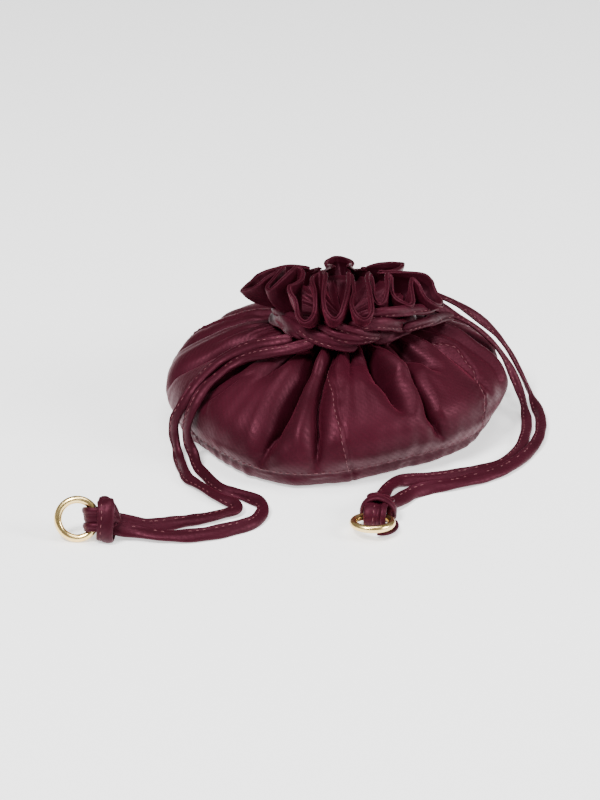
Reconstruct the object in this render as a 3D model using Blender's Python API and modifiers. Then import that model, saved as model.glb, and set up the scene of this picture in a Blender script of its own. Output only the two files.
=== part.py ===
"""A satin drawstring jewelry pouch, drawn shut and standing on its round base.

Metres, +Z up. The origin is the middle of the flat underside, and -Y is the front.
A round base panel is sewn to a full wall. The wall is gathered into a narrow neck, and a ruffled
collar stands on the neck. Two drawcords go round the neck: one leaves to the left and one to the
right, and the two ends of each are knotted round a brass ring that swings in its knot.
"""

import math

import bmesh
import bpy
from mathutils import Euler, Matrix, Vector

MM = 0.001
GAP = 0.3 * MM  # between pieces that are sewn, knotted or laid against each other

# Base panel
BASE_FOOT_RADIUS = 55 * MM
SEAM_RADIUS = 62.6 * MM
SEAM_HEIGHT = 5.2 * MM

# Wall, from the base seam to the neck: the widest girth, and two levels of the shoulder
BELLY_RADIUS = 66.8 * MM
BELLY_HEIGHT = 14.5 * MM
FLANK_RADIUS = 63.2 * MM
FLANK_HEIGHT = 24.5 * MM
SHOULDER_RADIUS = 47.4 * MM
SHOULDER_HEIGHT = 34.4 * MM

# Neck, where the cords draw the wall together
NECK_RADIUS = 23.5 * MM
NECK_FOOT = 40.5 * MM
NECK_HEIGHT = 10 * MM
NECK_SHIFT = 3 * MM
NECK_PLEAT = 1.4 * MM

# Collar
COLLAR_CLOTH = 1.1 * MM
COLLAR_LOOP_RADIUS = 4.3 * MM
COLLAR_BEND_RADIUS = 1.4 * MM
COLLAR_INNER_REACH = (13 * MM, 15 * MM, 14 * MM)
COLLAR_INNER_HEIGHT = (66 * MM, 64 * MM, 65 * MM)
COLLAR_BULGE = 0.09
COLLAR_BACK_DROP = 5 * MM

# Drawcords: a flattened cloth tube, of which this is the round equivalent
CORD_DIAMETER = 3.6 * MM
CORD_TURN_SPACING = 4.4 * MM
CORD_SIDES = 2  # bevel resolution of a cord
TURN_SEGMENTS = 32

# Rings
RING_WIRE = 2.6 * MM
RING_DIAMETER = 16.6 * MM

# The loop of each knot, round its ring
LOOP_BORE = 2.05 * MM
LOOP_CLOTH = 1.1 * MM
LOOP_WIDTH = 4.5 * MM

WALL_COLUMNS = 124
WALL_ROWS = 15
COLLAR_ROWS = 3

# The sewn base outline isn't a true circle: angle, bulge and half width in degrees of each swelling
BASE_SWELLINGS = (
    (-108, 7.0 * MM, 24),
    (-64, -3.5 * MM, 24),
    (-165, 1.5 * MM, 20),
    (70, 2.0 * MM, 25),
    (140, -2.0 * MM, 24),
)

# Folds of the wall, in millimetres and degrees. Each has rows of share up the wall, angle, depth,
# and half width on the side of smaller and of larger angles. A depth below 0 is a ridge.
FOLDS = (
    ((0.05, -114, 0, 5, 5), (0.15, -113, 5, 7, 7), (0.34, -111.2, 11, 10, 8), (0.52, -110.4, 14, 12, 8),
        (0.68, -108.8, 13, 10, 6), (0.84, -110.5, 9, 7, 4), (0.97, -112.5, 6, 4, 3.5)),
    ((0.2, -102, 0, 4, 4), (0.4, -103.4, -1.6, 4, 4), (0.6, -104.3, -2.6, 3.2, 3.2),
        (0.8, -103.8, -2.8, 2.5, 2.5), (0.95, -103.5, -1.8, 2, 2)),
    ((0.04, -96.5, 0, 5, 4), (0.2, -96.8, 6, 6, 6), (0.38, -97.6, 9, 6.5, 7),
        (0.54, -100.2, 8.5, 4.5, 6.5), (0.7, -100.3, 6.5, 3, 5), (0.86, -99.5, 5, 2.5, 3.5),
        (0.97, -99, 3, 2, 2.5)),
    ((0.42, -66.5, 0, 6, 6), (0.54, -67.2, 8, 9, 8), (0.66, -69, 14, 11, 8), (0.8, -70, 15, 10, 7),
        (0.93, -70, 10, 6, 5), (1, -70, 6, 4, 4)),
    ((0.36, -60, 0, 5, 5), (0.52, -58.4, -2.8, 5, 5), (0.66, -59, -4, 4.5, 4.5),
        (0.82, -62, -3.8, 3.5, 3.5), (0.96, -65, -2.4, 3, 3)),
    ((0.12, -50.5, 0, 4, 4), (0.26, -52.6, 5, 8, 4), (0.42, -55, 8, 9, 4.5), (0.56, -54.4, 7, 8, 5),
        (0.72, -52, 6, 5, 7), (0.86, -49, 8, 5, 8), (0.97, -48, 7, 4, 6)),
    ((0.54, -38, 0, 8, 8), (0.66, -39, 5, 9, 9), (0.78, -40, 8, 8, 8), (0.9, -41, 8, 6, 6),
        (1, -42, 5, 5, 5)),
    ((0.3, -24, 0, 6, 6), (0.48, -24, 2.2, 8, 7), (0.64, -22, 3.6, 8, 7), (0.8, -20, 5, 6, 6),
        (0.95, -20, 4, 4, 4)),
    ((0.18, -12, 0, 5, 5), (0.34, -12, -2.2, 5, 5), (0.5, -7, -3.2, 5, 5), (0.66, -3, -3.2, 4.5, 4.5),
        (0.86, 1, -2.4, 3.5, 3.5)),
    ((0.14, 4, 0, 7, 7), (0.32, 7, 5, 10, 9), (0.5, 9, 8, 10, 9), (0.68, 10, 9.5, 9, 9),
        (0.82, 10, 9, 7, 7), (0.96, 10, 6, 5, 5)),
    ((0.3, 30, 0, 7, 7), (0.5, 29, 5, 9, 8), (0.7, 27, 8, 8, 7), (0.9, 28, 6, 5, 5)),
    ((0.1, 54, 0, 6, 6), (0.34, 53, 6, 8, 8), (0.6, 51, 10, 9, 8), (0.84, 50, 8, 6, 6),
        (0.98, 50, 4, 4, 4)),
    ((0.36, 80, 0, 7, 7), (0.56, 79, 5, 9, 9), (0.76, 77, 8, 7, 7), (0.94, 76, 5, 4, 4)),
    ((0.1, 96, 0, 6, 6), (0.32, 97, 7, 8, 8), (0.58, 98, 11, 9, 9), (0.82, 99, 9, 6, 6),
        (0.98, 99, 4, 4, 4)),
    ((0.32, 126, 0, 8, 8), (0.54, 124, 6, 9, 9), (0.76, 121, 8, 7, 7), (0.95, 120, 5, 4, 4)),
    ((0.12, 143, 0, 6, 6), (0.36, 144, 6, 8, 8), (0.6, 145, 9, 9, 8), (0.84, 146, 8, 6, 6),
        (0.98, 146, 4, 4, 4)),
    ((0.34, 170, 0, 7, 7), (0.5, 168, 4, 8, 9), (0.66, 166, 7, 8, 8), (0.82, 164, 8, 6, 6),
        (0.96, 164, 5, 4, 4)),
    ((0.16, -172, 0, 6, 6), (0.34, -171, 2.5, 7, 7), (0.52, -168, 5, 8, 8), (0.68, -164, 7, 7, 7),
        (0.84, -160, 7, 5, 6), (0.97, -158, 5, 4, 4)),
    ((0.3, -148, 0, 6, 6), (0.46, -147, 2.5, 8, 8), (0.62, -145, 4.2, 8, 8), (0.78, -142, 5.5, 6, 6),
        (0.94, -140, 5, 4, 4)),
    ((0.5, -131, 0, 6, 6), (0.64, -129, 2.2, 6, 6), (0.8, -126, 4, 5, 5), (0.95, -124, 4, 3.5, 3.5)),
    ((0.6, -86, 0, 4, 4), (0.74, -86, 3, 4.5, 4), (0.9, -85, 5, 3.5, 3), (1, -84, 4, 2.5, 2.5)),
)

# The collar's outward loops: angle, reach from the neck's axis, height of the hem there
COLLAR_LOOPS = (
    (-167, 40.0 * MM, 54.0 * MM),
    (-147, 33.0 * MM, 59.0 * MM),
    (-128, 34.0 * MM, 58.0 * MM),
    (-110, 35.0 * MM, 54.5 * MM),
    (-90, 35.0 * MM, 55.5 * MM),
    (-70, 35.0 * MM, 55.5 * MM),
    (-52, 32.0 * MM, 58.0 * MM),
    (-34, 36.0 * MM, 57.0 * MM),
    (-11, 40.0 * MM, 52.5 * MM),
    (14, 36.0 * MM, 52.0 * MM),
    (38, 34.0 * MM, 53.0 * MM),
    (62, 31.0 * MM, 52.5 * MM),
    (86, 31.0 * MM, 55.0 * MM),
    (110, 31.0 * MM, 52.0 * MM),
    (134, 34.0 * MM, 53.0 * MM),
    (164, 35.0 * MM, 53.0 * MM),
)

# Routes of the free ends, in millimetres, from the neck to the knot
LEFT_OUTER_ROUTE = (
    (-17, -27.5, 44.8), (-25, -26.8, 43.2), (-32.5, -24.5, 40.8), (-39, -23.3, 37.6), (-45, -23.6, 34),
    (-50, -27, 31), (-53.5, -31.2, 28.5), (-56.5, -34.3, 25), (-59.5, -36, 20.5), (-62.3, -36.5, 15),
    (-62.8, -36.8, 9.5), (-61.8, -39.4, 5), (-60.7, -44.2, 2.2), (-58.8, -53, 2.1), (-56.6, -60.9, 2.1),
    (-53.3, -65.4, 2.1), (-50.2, -69.4, 2.1), (-46.6, -74.2, 2.1), (-42.6, -78.7, 2.1), (-38.1, -82.7, 2.1),
    (-38, -87.1, 2.1), (-43.1, -90.4, 2.1), (-48.1, -93.1, 2.1), (-54.3, -95.4, 2.1), (-60.8, -97.5, 2.1),
    (-65.1, -99.2, 2.3), (-69.7, -100.8, 2.9), (-74.7, -101.9, 4.5), (-80.3, -103.1, 6.6),
)
LEFT_INNER_ROUTE = (
    (-8.5, -30.4, 44.6), (-19, -31.5, 42.2), (-28, -29.8, 39.8), (-35.5, -26.8, 36.4), (-41.5, -27.3, 33),
    (-46, -30.5, 30.6), (-50, -35, 28.6), (-53.4, -38.8, 24.8), (-56, -40.8, 19.6), (-57.6, -41.2, 14),
    (-57.2, -41.6, 8.5), (-55, -44.6, 4.2), (-53.2, -51.1, 2.2), (-49.4, -59.6, 2.1), (-46.5, -65.7, 2.1),
    (-43, -70.5, 2.1), (-38.8, -73.3, 2.1), (-35.1, -75.5, 2.1), (-31.5, -78.3, 2.1), (-29.1, -80.8, 2.1),
    (-27.8, -84.9, 2.1), (-28.2, -90.4, 2.1), (-30.5, -96, 2.1), (-34.1, -99.3, 2.1), (-38.4, -101.6, 2.1),
    (-43, -103.9, 2.1), (-48.4, -106, 2.1), (-55.6, -107.3, 2.1), (-62.9, -107.1, 2.1),
    (-68.3, -106.5, 2.6), (-73.8, -105.7, 3.2), (-80.4, -106.3, 4.6),
)
RIGHT_OUTER_ROUTE = (
    (29.2, 13.1, 48), (38, 16.5, 45.5), (47, 18.5, 41), (56, 20.5, 34.5), (64, 22, 27), (70.5, 21.5, 18.5),
    (75.5, 18.5, 10), (79, 12.5, 4), (80.8, 3, 2.1), (81.6, -9, 2.1), (80.2, -22, 2.1), (76.4, -34.2, 2.1),
    (71, -44.4, 2.1), (64.6, -52.4, 2.1), (58.1, -58, 2.1), (50.3, -62.3, 2.1), (42.5, -65.9, 2.1),
    (34.9, -68.6, 2.1), (29.1, -72.3, 2.1), (24.7, -77.4, 2.3), (22, -81.2, 2.7), (19.6, -84, 3.4),
)
RIGHT_INNER_ROUTE = (
    (32.1, 4, 47), (40.5, 6.5, 44), (49, 8, 38.8), (57, 9.5, 32.8), (64, 10.5, 25.5), (69.5, 9.5, 17.5),
    (73.5, 6, 9.5), (75.6, -1, 4), (76, -9, 2.1), (74.7, -21, 2.1), (71.7, -33.5, 2.1), (65.1, -46.2, 2.1),
    (58.6, -51.8, 2.1), (50.7, -56.3, 2.1), (42.9, -59.4, 2.1), (35.2, -61.3, 2.1), (28.7, -62.4, 2.2),
    (23, -64.8, 2.5), (19, -71.1, 3.2), (16.5, -79.9, 4.1), (15.2, -83, 4.9),
)

# Rings: centre in millimetres, and tilt about X and Y in degrees. An upright tilt of 90 stands it up.
LEFT_RING = ((-94.6, -105.0, 7.75), (65, 0))
RIGHT_RING = ((12.37, -101.03, 4.15), (-7, 0))
LEFT_KNOT_AT = 0  # where the knot sits round each ring, in degrees from its own X
RIGHT_KNOT_AT = 80

# Size and place of each knot in the frame of its ring's hinge, in millimetres
LEFT_KNOT = (5.6, 14, 12)
LEFT_KNOT_PLACE = (3.7, 0, 0)
RIGHT_KNOT = (9.5, 14, 8)
RIGHT_KNOT_PLACE = (5.6, 0, 1.8)


def material(name, colour, roughness, metallic=0.0):
    made = bpy.data.materials.new(name)
    made.use_nodes = True
    shader = made.node_tree.nodes["Principled BSDF"]
    shader.inputs["Base Color"].default_value = (*colour, 1)
    shader.inputs["Roughness"].default_value = roughness
    shader.inputs["Metallic"].default_value = metallic
    return made


def clear_scene():
    for obj in list(bpy.data.objects):
        bpy.data.objects.remove(obj, do_unlink=True)


def collection(name):
    made = bpy.data.collections.new(name)
    bpy.context.scene.collection.children.link(made)
    return made


def add(name, data, group, finish=None):
    obj = bpy.data.objects.new(name, data)
    group.objects.link(obj)
    if finish:
        data.materials.append(finish)
    return obj


def smooth(obj, angle=50):
    obj.data.shade_smooth()
    obj.data.set_sharp_from_angle(angle=math.radians(angle))


def ease(share):
    """0 to 1, level at both ends."""
    share = min(1.0, max(0.0, share))
    return share * share * (3 - 2 * share)


def turn_between(angle, centre):
    """The signed angle from centre to angle, in degrees, by the short way."""
    return (angle - centre + 180) % 360 - 180


def spline_at(points, share):
    """A point on the smooth curve through the points, at a share of their number."""
    last = len(points) - 1
    place = min(max(share, 0.0), 1.0) * last
    i = min(int(place), last - 1)
    u = place - i
    p1, p2 = points[i], points[i + 1]
    p0 = points[i - 1] if i else 2 * p1 - p2
    p3 = points[i + 2] if i + 2 <= last else 2 * p2 - p1
    return 0.5 * (
        2 * p1 + (p2 - p0) * u + (2 * p0 - 5 * p1 + 4 * p2 - p3) * u**2 + (3 * (p1 - p2) + p3 - p0) * u**3
    )


WALL_PROFILE = [
    Vector((SEAM_RADIUS, SEAM_HEIGHT)),
    Vector((BELLY_RADIUS, BELLY_HEIGHT)),
    Vector((FLANK_RADIUS, FLANK_HEIGHT)),
    Vector((SHOULDER_RADIUS, SHOULDER_HEIGHT)),
    Vector(((SHOULDER_RADIUS + NECK_RADIUS) / 2, (SHOULDER_HEIGHT + 3 * NECK_FOOT) / 4)),
    Vector((NECK_RADIUS, NECK_FOOT)),
]


def swelling(angle):
    """How far the base outline stands out at this angle."""
    total = 0.0
    for centre, bulge, half_width in BASE_SWELLINGS:
        total += bulge * math.exp(-((turn_between(angle, centre) / half_width) ** 2))
    return total


def fold_at(rows, share):
    """A fold's angle, depth and half widths at a share of the way up the wall, or None off its ends."""
    if share < rows[0][0] or (share > rows[-1][0] and rows[-1][0] < 0.93):
        return None
    for lower, upper in zip(rows, rows[1:]):
        if share <= upper[0] or upper is rows[-1]:
            place = min(1.0, (share - lower[0]) / (upper[0] - lower[0]))
            return [a + (b - a) * place for a, b in zip(lower[1:], upper[1:])]


def folded(angle, share, radius):
    """How far the folds draw the wall in, and how far they carry it round towards a crease."""
    inward = aside = 0.0
    for rows in FOLDS:
        fold = fold_at(rows, share)
        if not fold:
            continue
        centre, depth, before, after = fold
        away = math.radians(turn_between(angle, centre)) * radius
        across = abs(away) / ((before if away < 0 else after) * MM)
        if across >= 1:
            continue
        if depth > 0:
            inward += depth * MM * (1 - across) ** 2 * (1 + 0.55 * across)
            carried = 16 * (across * (1 - across)) ** 2 * 0.19 * min(depth, 1.45 * min(before, after)) * MM
            aside -= math.copysign(carried, away)
        else:
            inward += depth * MM * (1 - across**2) ** 2 * (1 - ease((share - 0.75) / 0.2))
    return inward, aside


def neck_pleat(angle):
    """The ripple of the gathered cloth at the neck, in step with the collar's loops."""
    for i, (centre, _, _) in enumerate(COLLAR_LOOPS):
        following = COLLAR_LOOPS[(i + 1) % len(COLLAR_LOOPS)][0]
        gap = (following - centre) % 360
        ahead = (angle - centre) % 360
        if ahead < gap:
            return math.cos(2 * math.pi * ahead / gap)
    return 1.0


def wall_point(angle, share):
    """A point of the wall's outer face."""
    here = spline_at(WALL_PROFILE, share)
    along = spline_at(WALL_PROFILE, min(1.0, share + 0.01)) - spline_at(WALL_PROFILE, max(0.0, share - 0.01))
    along.normalize()
    depth, aside = folded(angle, share, here.x)
    radius = here.x - depth * along.y + swelling(angle) * (1 - ease(share / 0.6))
    height = here.y + depth * along.x
    radius += NECK_PLEAT * neck_pleat(angle) * ease((share - 0.75) / 0.25)
    turn = math.radians(angle) + aside / here.x
    return Vector((
        radius * math.cos(turn) + NECK_SHIFT * ease(share),
        radius * math.sin(turn),
        height,
    ))


def neck_point(angle, height, inset=0.0):
    """A point of the gathered neck, above the wall."""
    radius = NECK_RADIUS + NECK_PLEAT * neck_pleat(angle) - inset
    turn = math.radians(angle)
    return Vector((radius * math.cos(turn) + NECK_SHIFT, radius * math.sin(turn), height))


def base_point(angle, radius, height, swell=1.0):
    reach = radius + swelling(angle) * swell
    turn = math.radians(angle)
    return Vector((reach * math.cos(turn), reach * math.sin(turn), height))


def lofted(name, rings, group, finish):
    """A closed solid through rings of points, from the lowest ring to the highest."""
    mesh = bmesh.new()
    rows = [[mesh.verts.new(point) for point in ring] for ring in rings]
    count = len(rows[0])
    for lower, upper in zip(rows, rows[1:]):
        for i in range(count):
            j = (i + 1) % count
            mesh.faces.new((lower[i], lower[j], upper[j], upper[i]))
    for row, outward in ((rows[0], False), (rows[-1], True)):
        middle = mesh.verts.new(sum((v.co for v in row), Vector()) / count)
        for i in range(count):
            a, b = row[i], row[(i + 1) % count]
            mesh.faces.new((middle, a, b) if outward else (middle, b, a))
    data = bpy.data.meshes.new(name)
    mesh.to_mesh(data)
    mesh.free()
    obj = add(name, data, group, finish)
    smooth(obj)
    return obj


def angles(count):
    return [360 * i / count for i in range(count)]


def make_base_panel(group, finish):
    """A padded round of cloth, flat below, whose rim turns up to the seam."""
    profile = (
        (BASE_FOOT_RADIUS, 0.0, 0.6),
        ((BASE_FOOT_RADIUS + SEAM_RADIUS) / 2, 0.15 * SEAM_HEIGHT, 0.8),
        (SEAM_RADIUS, 0.55 * SEAM_HEIGHT, 1.0),
        (SEAM_RADIUS, SEAM_HEIGHT - GAP, 1.0),
        (BASE_FOOT_RADIUS, SEAM_HEIGHT - GAP, 0.6),
    )
    rings = [
        [base_point(a, radius, height, swell) for a in angles(WALL_COLUMNS // 2)]
        for radius, height, swell in profile
    ]
    return lofted("base_panel", rings, group, finish)


def make_pouch_body(group, finish):
    """The filled wall with its folds, and the gathered neck that the cords go round."""
    turns = angles(WALL_COLUMNS)
    shares = [i / WALL_ROWS for i in range(WALL_ROWS + 1)]
    rings = [[wall_point(a, share) for a in turns] for share in shares]
    rings.append([neck_point(a, NECK_FOOT + NECK_HEIGHT / 2) for a in turns])
    rings.append([neck_point(a, NECK_FOOT + NECK_HEIGHT) for a in turns])
    return lofted("pouch_body", rings, group, finish)


def hem_stations(outer_reach, inner_reach, half_gap):
    """The hem from an outward loop's middle to the inward bend's: how far aside, and how far out."""
    loop, bend = COLLAR_LOOP_RADIUS, COLLAR_BEND_RADIUS
    stations = []
    for turn in (0, 45, 90):
        beta = math.radians(turn)
        stations.append((loop * math.sin(beta), outer_reach - loop * (1 - math.cos(beta))))
    tail = []
    for turn in (90, 45, 0):
        beta = math.radians(turn)
        reach = inner_reach + bend * (1 - math.cos(beta))
        tail.append((reach * math.tan(half_gap) - bend * math.sin(beta), reach))
    between = ((stations[-1][0] + tail[0][0]) / 2, (stations[-1][1] + tail[0][1]) / 2)
    return stations + [between] + tail


def half_loop(outer, inner, up):
    """Points at one level of the collar, from an outward loop to the inward bend beside it.

    outer and inner hold the angle, reach and height of the hem there, and up runs from the neck
    to the hem.
    """
    span = math.radians(turn_between(inner[0], outer[0]))
    stations = hem_stations(outer[1], inner[1], abs(span))
    foot_level = NECK_FOOT + NECK_HEIGHT + GAP + COLLAR_CLOTH / 2
    points = []
    for i, (aside, reach) in enumerate(stations):
        share = i / (len(stations) - 1)
        outward = (reach - inner[1]) / (outer[1] - inner[1])
        hem_turn = math.radians(outer[0]) + math.copysign(math.atan2(aside, reach), span)
        hem = Vector((reach * math.cos(hem_turn), reach * math.sin(hem_turn)))
        foot_turn = math.radians(outer[0]) + span * share
        foot_reach = NECK_RADIUS - COLLAR_CLOTH + NECK_PLEAT * math.cos(math.pi * share)
        foot = Vector((foot_reach * math.cos(foot_turn), foot_reach * math.sin(foot_turn)))
        level = inner[2] + (outer[2] - inner[2]) * outward
        flat = foot.lerp(hem, up) * (1 + COLLAR_BULGE * outward * math.sin(math.pi * up))
        rise = up ** (1 - 0.4 * (1 - outward))
        points.append(Vector((flat.x + NECK_SHIFT, flat.y, foot_level + (level - foot_level) * rise)))
    return points


def collar_ring(up):
    """All the points round the collar at one level."""
    ring = []
    for i, outer in enumerate(COLLAR_LOOPS):
        following = COLLAR_LOOPS[(i + 1) % len(COLLAR_LOOPS)]
        middle = outer[0] + ((following[0] - outer[0]) % 360) / 2
        level = COLLAR_INNER_HEIGHT[i % 3] - COLLAR_BACK_DROP * (1 + math.sin(math.radians(middle))) / 2
        inner = (middle, COLLAR_INNER_REACH[i % 3], level)
        ring += half_loop(outer, inner, up)[:-1]
        ring += half_loop(following, inner, up)[:0:-1]
    return ring


def make_collar(group, finish):
    """The ruffled collar: one band of doubled cloth in outward loops and inward bends."""
    rows = [collar_ring(i / COLLAR_ROWS) for i in range(COLLAR_ROWS + 1)]
    mesh = bmesh.new()
    grid = [[mesh.verts.new(point) for point in row] for row in rows]
    count = len(grid[0])
    for lower, upper in zip(grid, grid[1:]):
        for i in range(count):
            j = (i + 1) % count
            mesh.faces.new((lower[i], lower[j], upper[j], upper[i]))
    data = bpy.data.meshes.new("ruffled_collar")
    mesh.to_mesh(data)
    mesh.free()
    obj = add("ruffled_collar", data, group, finish)
    solid = obj.modifiers.new("cloth", "SOLIDIFY")
    solid.thickness = COLLAR_CLOTH
    solid.offset = 0
    smooth(obj)
    return obj


def make_cord_turn(name, level, group, finish):
    """One turn of a drawcord round the neck."""
    radius = NECK_RADIUS + NECK_PLEAT + GAP + CORD_DIAMETER / 2
    bpy.ops.mesh.primitive_torus_add(
        major_radius=radius,
        minor_radius=CORD_DIAMETER / 2,
        major_segments=TURN_SEGMENTS,
        minor_segments=8,
        location=(NECK_SHIFT, 0, level),
    )
    obj = bpy.context.object
    obj.name = obj.data.name = name
    for owner in list(obj.users_collection):
        owner.objects.unlink(obj)
    group.objects.link(obj)
    obj.data.materials.append(finish)
    smooth(obj)
    return obj


def make_free_cord(name, route, group, finish):
    """The free end of a drawcord, along a smooth curve through its route."""
    points = [Vector(p) * MM for p in route]
    length = sum((b - a).length for a, b in zip(points, points[1:]))
    count = round(length / (2.8 * CORD_DIAMETER)) + 1
    data = bpy.data.curves.new(name, "CURVE")
    data.dimensions = "3D"
    data.bevel_depth = CORD_DIAMETER / 2
    data.bevel_resolution = CORD_SIDES
    data.use_fill_caps = True
    line = data.splines.new("POLY")
    line.points.add(count - 1)
    for i, place in enumerate(line.points):
        place.co = (*spline_at(points, i / (count - 1)), 1)
    return add(name, data, group, finish)


def ring_frame(ring):
    """The matrix that places a ring: its plane is its own XY."""
    (x, y, z), (tilt_x, tilt_y) = ring
    turn = Euler((math.radians(tilt_x), math.radians(tilt_y), 0)).to_matrix().to_4x4()
    return Matrix.Translation(Vector((x, y, z)) * MM) @ turn


def make_torus(name):
    wire = RING_WIRE / 2
    bpy.ops.mesh.primitive_torus_add(
        major_radius=RING_DIAMETER / 2 - wire,
        minor_radius=wire,
        major_segments=24,
        minor_segments=10,
    )
    obj = bpy.context.object
    obj.name = obj.data.name = name
    for owner in list(obj.users_collection):
        owner.objects.unlink(obj)
    return obj


def hinge_frame(ring, knot_at):
    """The matrix of the line that the ring swings about: its own Y runs along the wire."""
    turn = Matrix.Rotation(math.radians(knot_at), 4, "Z")
    reach = Matrix.Translation((RING_DIAMETER / 2 - RING_WIRE / 2, 0, 0))
    return ring_frame(ring) @ turn @ reach


def make_ring(name, ring, knot_at, group, finish):
    """A ring whose origin is on the line that it swings about."""
    obj = make_torus(name)
    group.objects.link(obj)
    obj.data.materials.append(finish)
    smooth(obj)
    offset = Matrix.Rotation(math.radians(knot_at), 4, "Z") @ Matrix.Translation(
        (RING_DIAMETER / 2 - RING_WIRE / 2, 0, 0)
    )
    obj.data.transform(offset.inverted())
    obj.matrix_world = hinge_frame(ring, knot_at)
    return obj


def block(mesh, size, place):
    """A box in the mesh, as the cage of a soft form."""
    made = bmesh.ops.create_cube(mesh, size=1, matrix=Matrix.Translation(place) @ Matrix.Diagonal((*size, 1)))
    return made["verts"]


def soft_form(name, size, place, frame, group):
    """A cushion shape of this size, in the frame given."""
    mesh = bmesh.new()
    block(mesh, size, place)
    bmesh.ops.subdivide_edges(mesh, edges=mesh.edges[:], cuts=1, use_grid_fill=True)
    data = bpy.data.meshes.new(name)
    mesh.to_mesh(data)
    mesh.free()
    obj = add(name, data, group)
    obj.matrix_world = frame
    soft = obj.modifiers.new("soft", "SUBSURF")
    soft.levels = soft.render_levels = 2
    return obj


def make_rod(name, radius, length, frame, group):
    """A round bar along the frame's own Y."""
    bpy.ops.mesh.primitive_cylinder_add(vertices=16, radius=radius, depth=length)
    obj = bpy.context.object
    obj.name = obj.data.name = name
    for owner in list(obj.users_collection):
        owner.objects.unlink(obj)
    group.objects.link(obj)
    obj.matrix_world = frame @ Matrix.Rotation(math.radians(90), 4, "X")
    return obj


def combine(obj, other, operation):
    other.hide_render = True
    other.display_type = "WIRE"
    step = obj.modifiers.new(operation.lower(), "BOOLEAN")
    step.operation = operation
    step.object = other


def make_knot(name, ring, knot_at, size, place, group, cutters, finish):
    """A knot in the two ends of a drawcord, and the loop of cord that the ring's wire runs through.

    size and place are the knot's own, in millimetres in the frame of the ring's hinge.
    """
    frame = hinge_frame(ring, knot_at)
    obj = soft_form(name, Vector(size) * MM, Vector(place) * MM, frame, group)
    loop = make_rod(name + "_loop", LOOP_BORE + LOOP_CLOTH, LOOP_WIDTH, frame, cutters)
    bore = make_rod(name + "_bore", LOOP_BORE, 4 * LOOP_WIDTH, frame, cutters)
    combine(obj, loop, "UNION")
    combine(obj, bore, "DIFFERENCE")
    obj.data.materials.append(finish)
    smooth(obj)
    return obj


def main():
    clear_scene()
    group = collection("jewelry_pouch")
    cutters = collection("cutters")
    satin = material("burgundy_satin", (0.105, 0.016, 0.028), 0.42)
    cord_cloth = material("burgundy_cord", (0.095, 0.014, 0.025), 0.4)
    brass = material("pale_brass", (0.83, 0.66, 0.36), 0.25, 1.0)

    make_base_panel(group, satin)
    make_pouch_body(group, satin)
    make_collar(group, satin)

    middle = NECK_FOOT + NECK_HEIGHT / 2
    make_cord_turn("left_cord_neck_turn", middle - CORD_TURN_SPACING / 2, group, cord_cloth)
    make_cord_turn("right_cord_neck_turn", middle + CORD_TURN_SPACING / 2, group, cord_cloth)
    make_free_cord("left_cord_outer_end", LEFT_OUTER_ROUTE, group, cord_cloth)
    make_free_cord("left_cord_inner_end", LEFT_INNER_ROUTE, group, cord_cloth)
    make_free_cord("right_cord_outer_end", RIGHT_OUTER_ROUTE, group, cord_cloth)
    make_free_cord("right_cord_inner_end", RIGHT_INNER_ROUTE, group, cord_cloth)

    make_ring("left_ring", LEFT_RING, LEFT_KNOT_AT, group, brass)
    make_ring("right_ring", RIGHT_RING, RIGHT_KNOT_AT, group, brass)
    make_knot("left_knot", LEFT_RING, LEFT_KNOT_AT, LEFT_KNOT, LEFT_KNOT_PLACE, group, cutters, cord_cloth)
    make_knot("right_knot", RIGHT_RING, RIGHT_KNOT_AT, RIGHT_KNOT, RIGHT_KNOT_PLACE, group, cutters, cord_cloth)


main()
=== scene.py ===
"""The satin drawstring jewelry pouch as it looks: cloth, cords, stitches, knots and rings.

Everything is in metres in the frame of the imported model. Angles are in degrees round the
pouch from +X, and -90 faces the front.
"""

import math

import bpy
import numpy as np
from mathutils import Matrix, Vector


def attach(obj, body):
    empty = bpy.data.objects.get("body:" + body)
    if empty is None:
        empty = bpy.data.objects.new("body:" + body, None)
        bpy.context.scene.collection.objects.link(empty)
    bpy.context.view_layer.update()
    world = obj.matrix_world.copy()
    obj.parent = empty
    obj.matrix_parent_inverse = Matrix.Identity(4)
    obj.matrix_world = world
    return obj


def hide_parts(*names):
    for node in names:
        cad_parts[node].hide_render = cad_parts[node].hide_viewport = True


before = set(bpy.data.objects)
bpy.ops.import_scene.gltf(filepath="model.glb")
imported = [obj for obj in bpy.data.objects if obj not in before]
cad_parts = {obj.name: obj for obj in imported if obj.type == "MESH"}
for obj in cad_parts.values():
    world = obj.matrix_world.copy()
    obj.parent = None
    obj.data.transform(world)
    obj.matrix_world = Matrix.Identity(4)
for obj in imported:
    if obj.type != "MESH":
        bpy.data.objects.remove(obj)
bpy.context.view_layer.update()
MM = 0.001

# Camera: 25 degrees above the table, one metre from the middle of the picture
ELEVATION = math.radians(25)
TARGET = Vector((-0.014, 0.0, 0.0062))
DISTANCE = 1.0
PICTURE_WIDTH = 0.24  # metres across the picture at the target
SENSOR = 36  # its width lies along the picture's longer side

# Light: powers in watts
LIT_POINT = Vector((0, 0, 0.02))
KEY_POWER = 31
RIGHT_POWER = 14
TOP_POWER = 9
WORLD_STRENGTH = 0.19
FLOOR_GLOW = 0.85

# Wall of the pouch, as its source has it
PROFILE = ((62.6, 5.2), (66.8, 14.5), (63.2, 24.5), (47.4, 34.4), (35.45, 39), (23.5, 40.5))
SWELLINGS = ((-108, 7.0, 24), (-64, -3.5, 24), (-165, 1.5, 20), (70, 2.0, 25), (140, -2.0, 24))
NECK_SHIFT = 3.0
NECK_RADIUS = 23.5
NECK_FOOT = 40.5
NECK_TOP = 50.5

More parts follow.
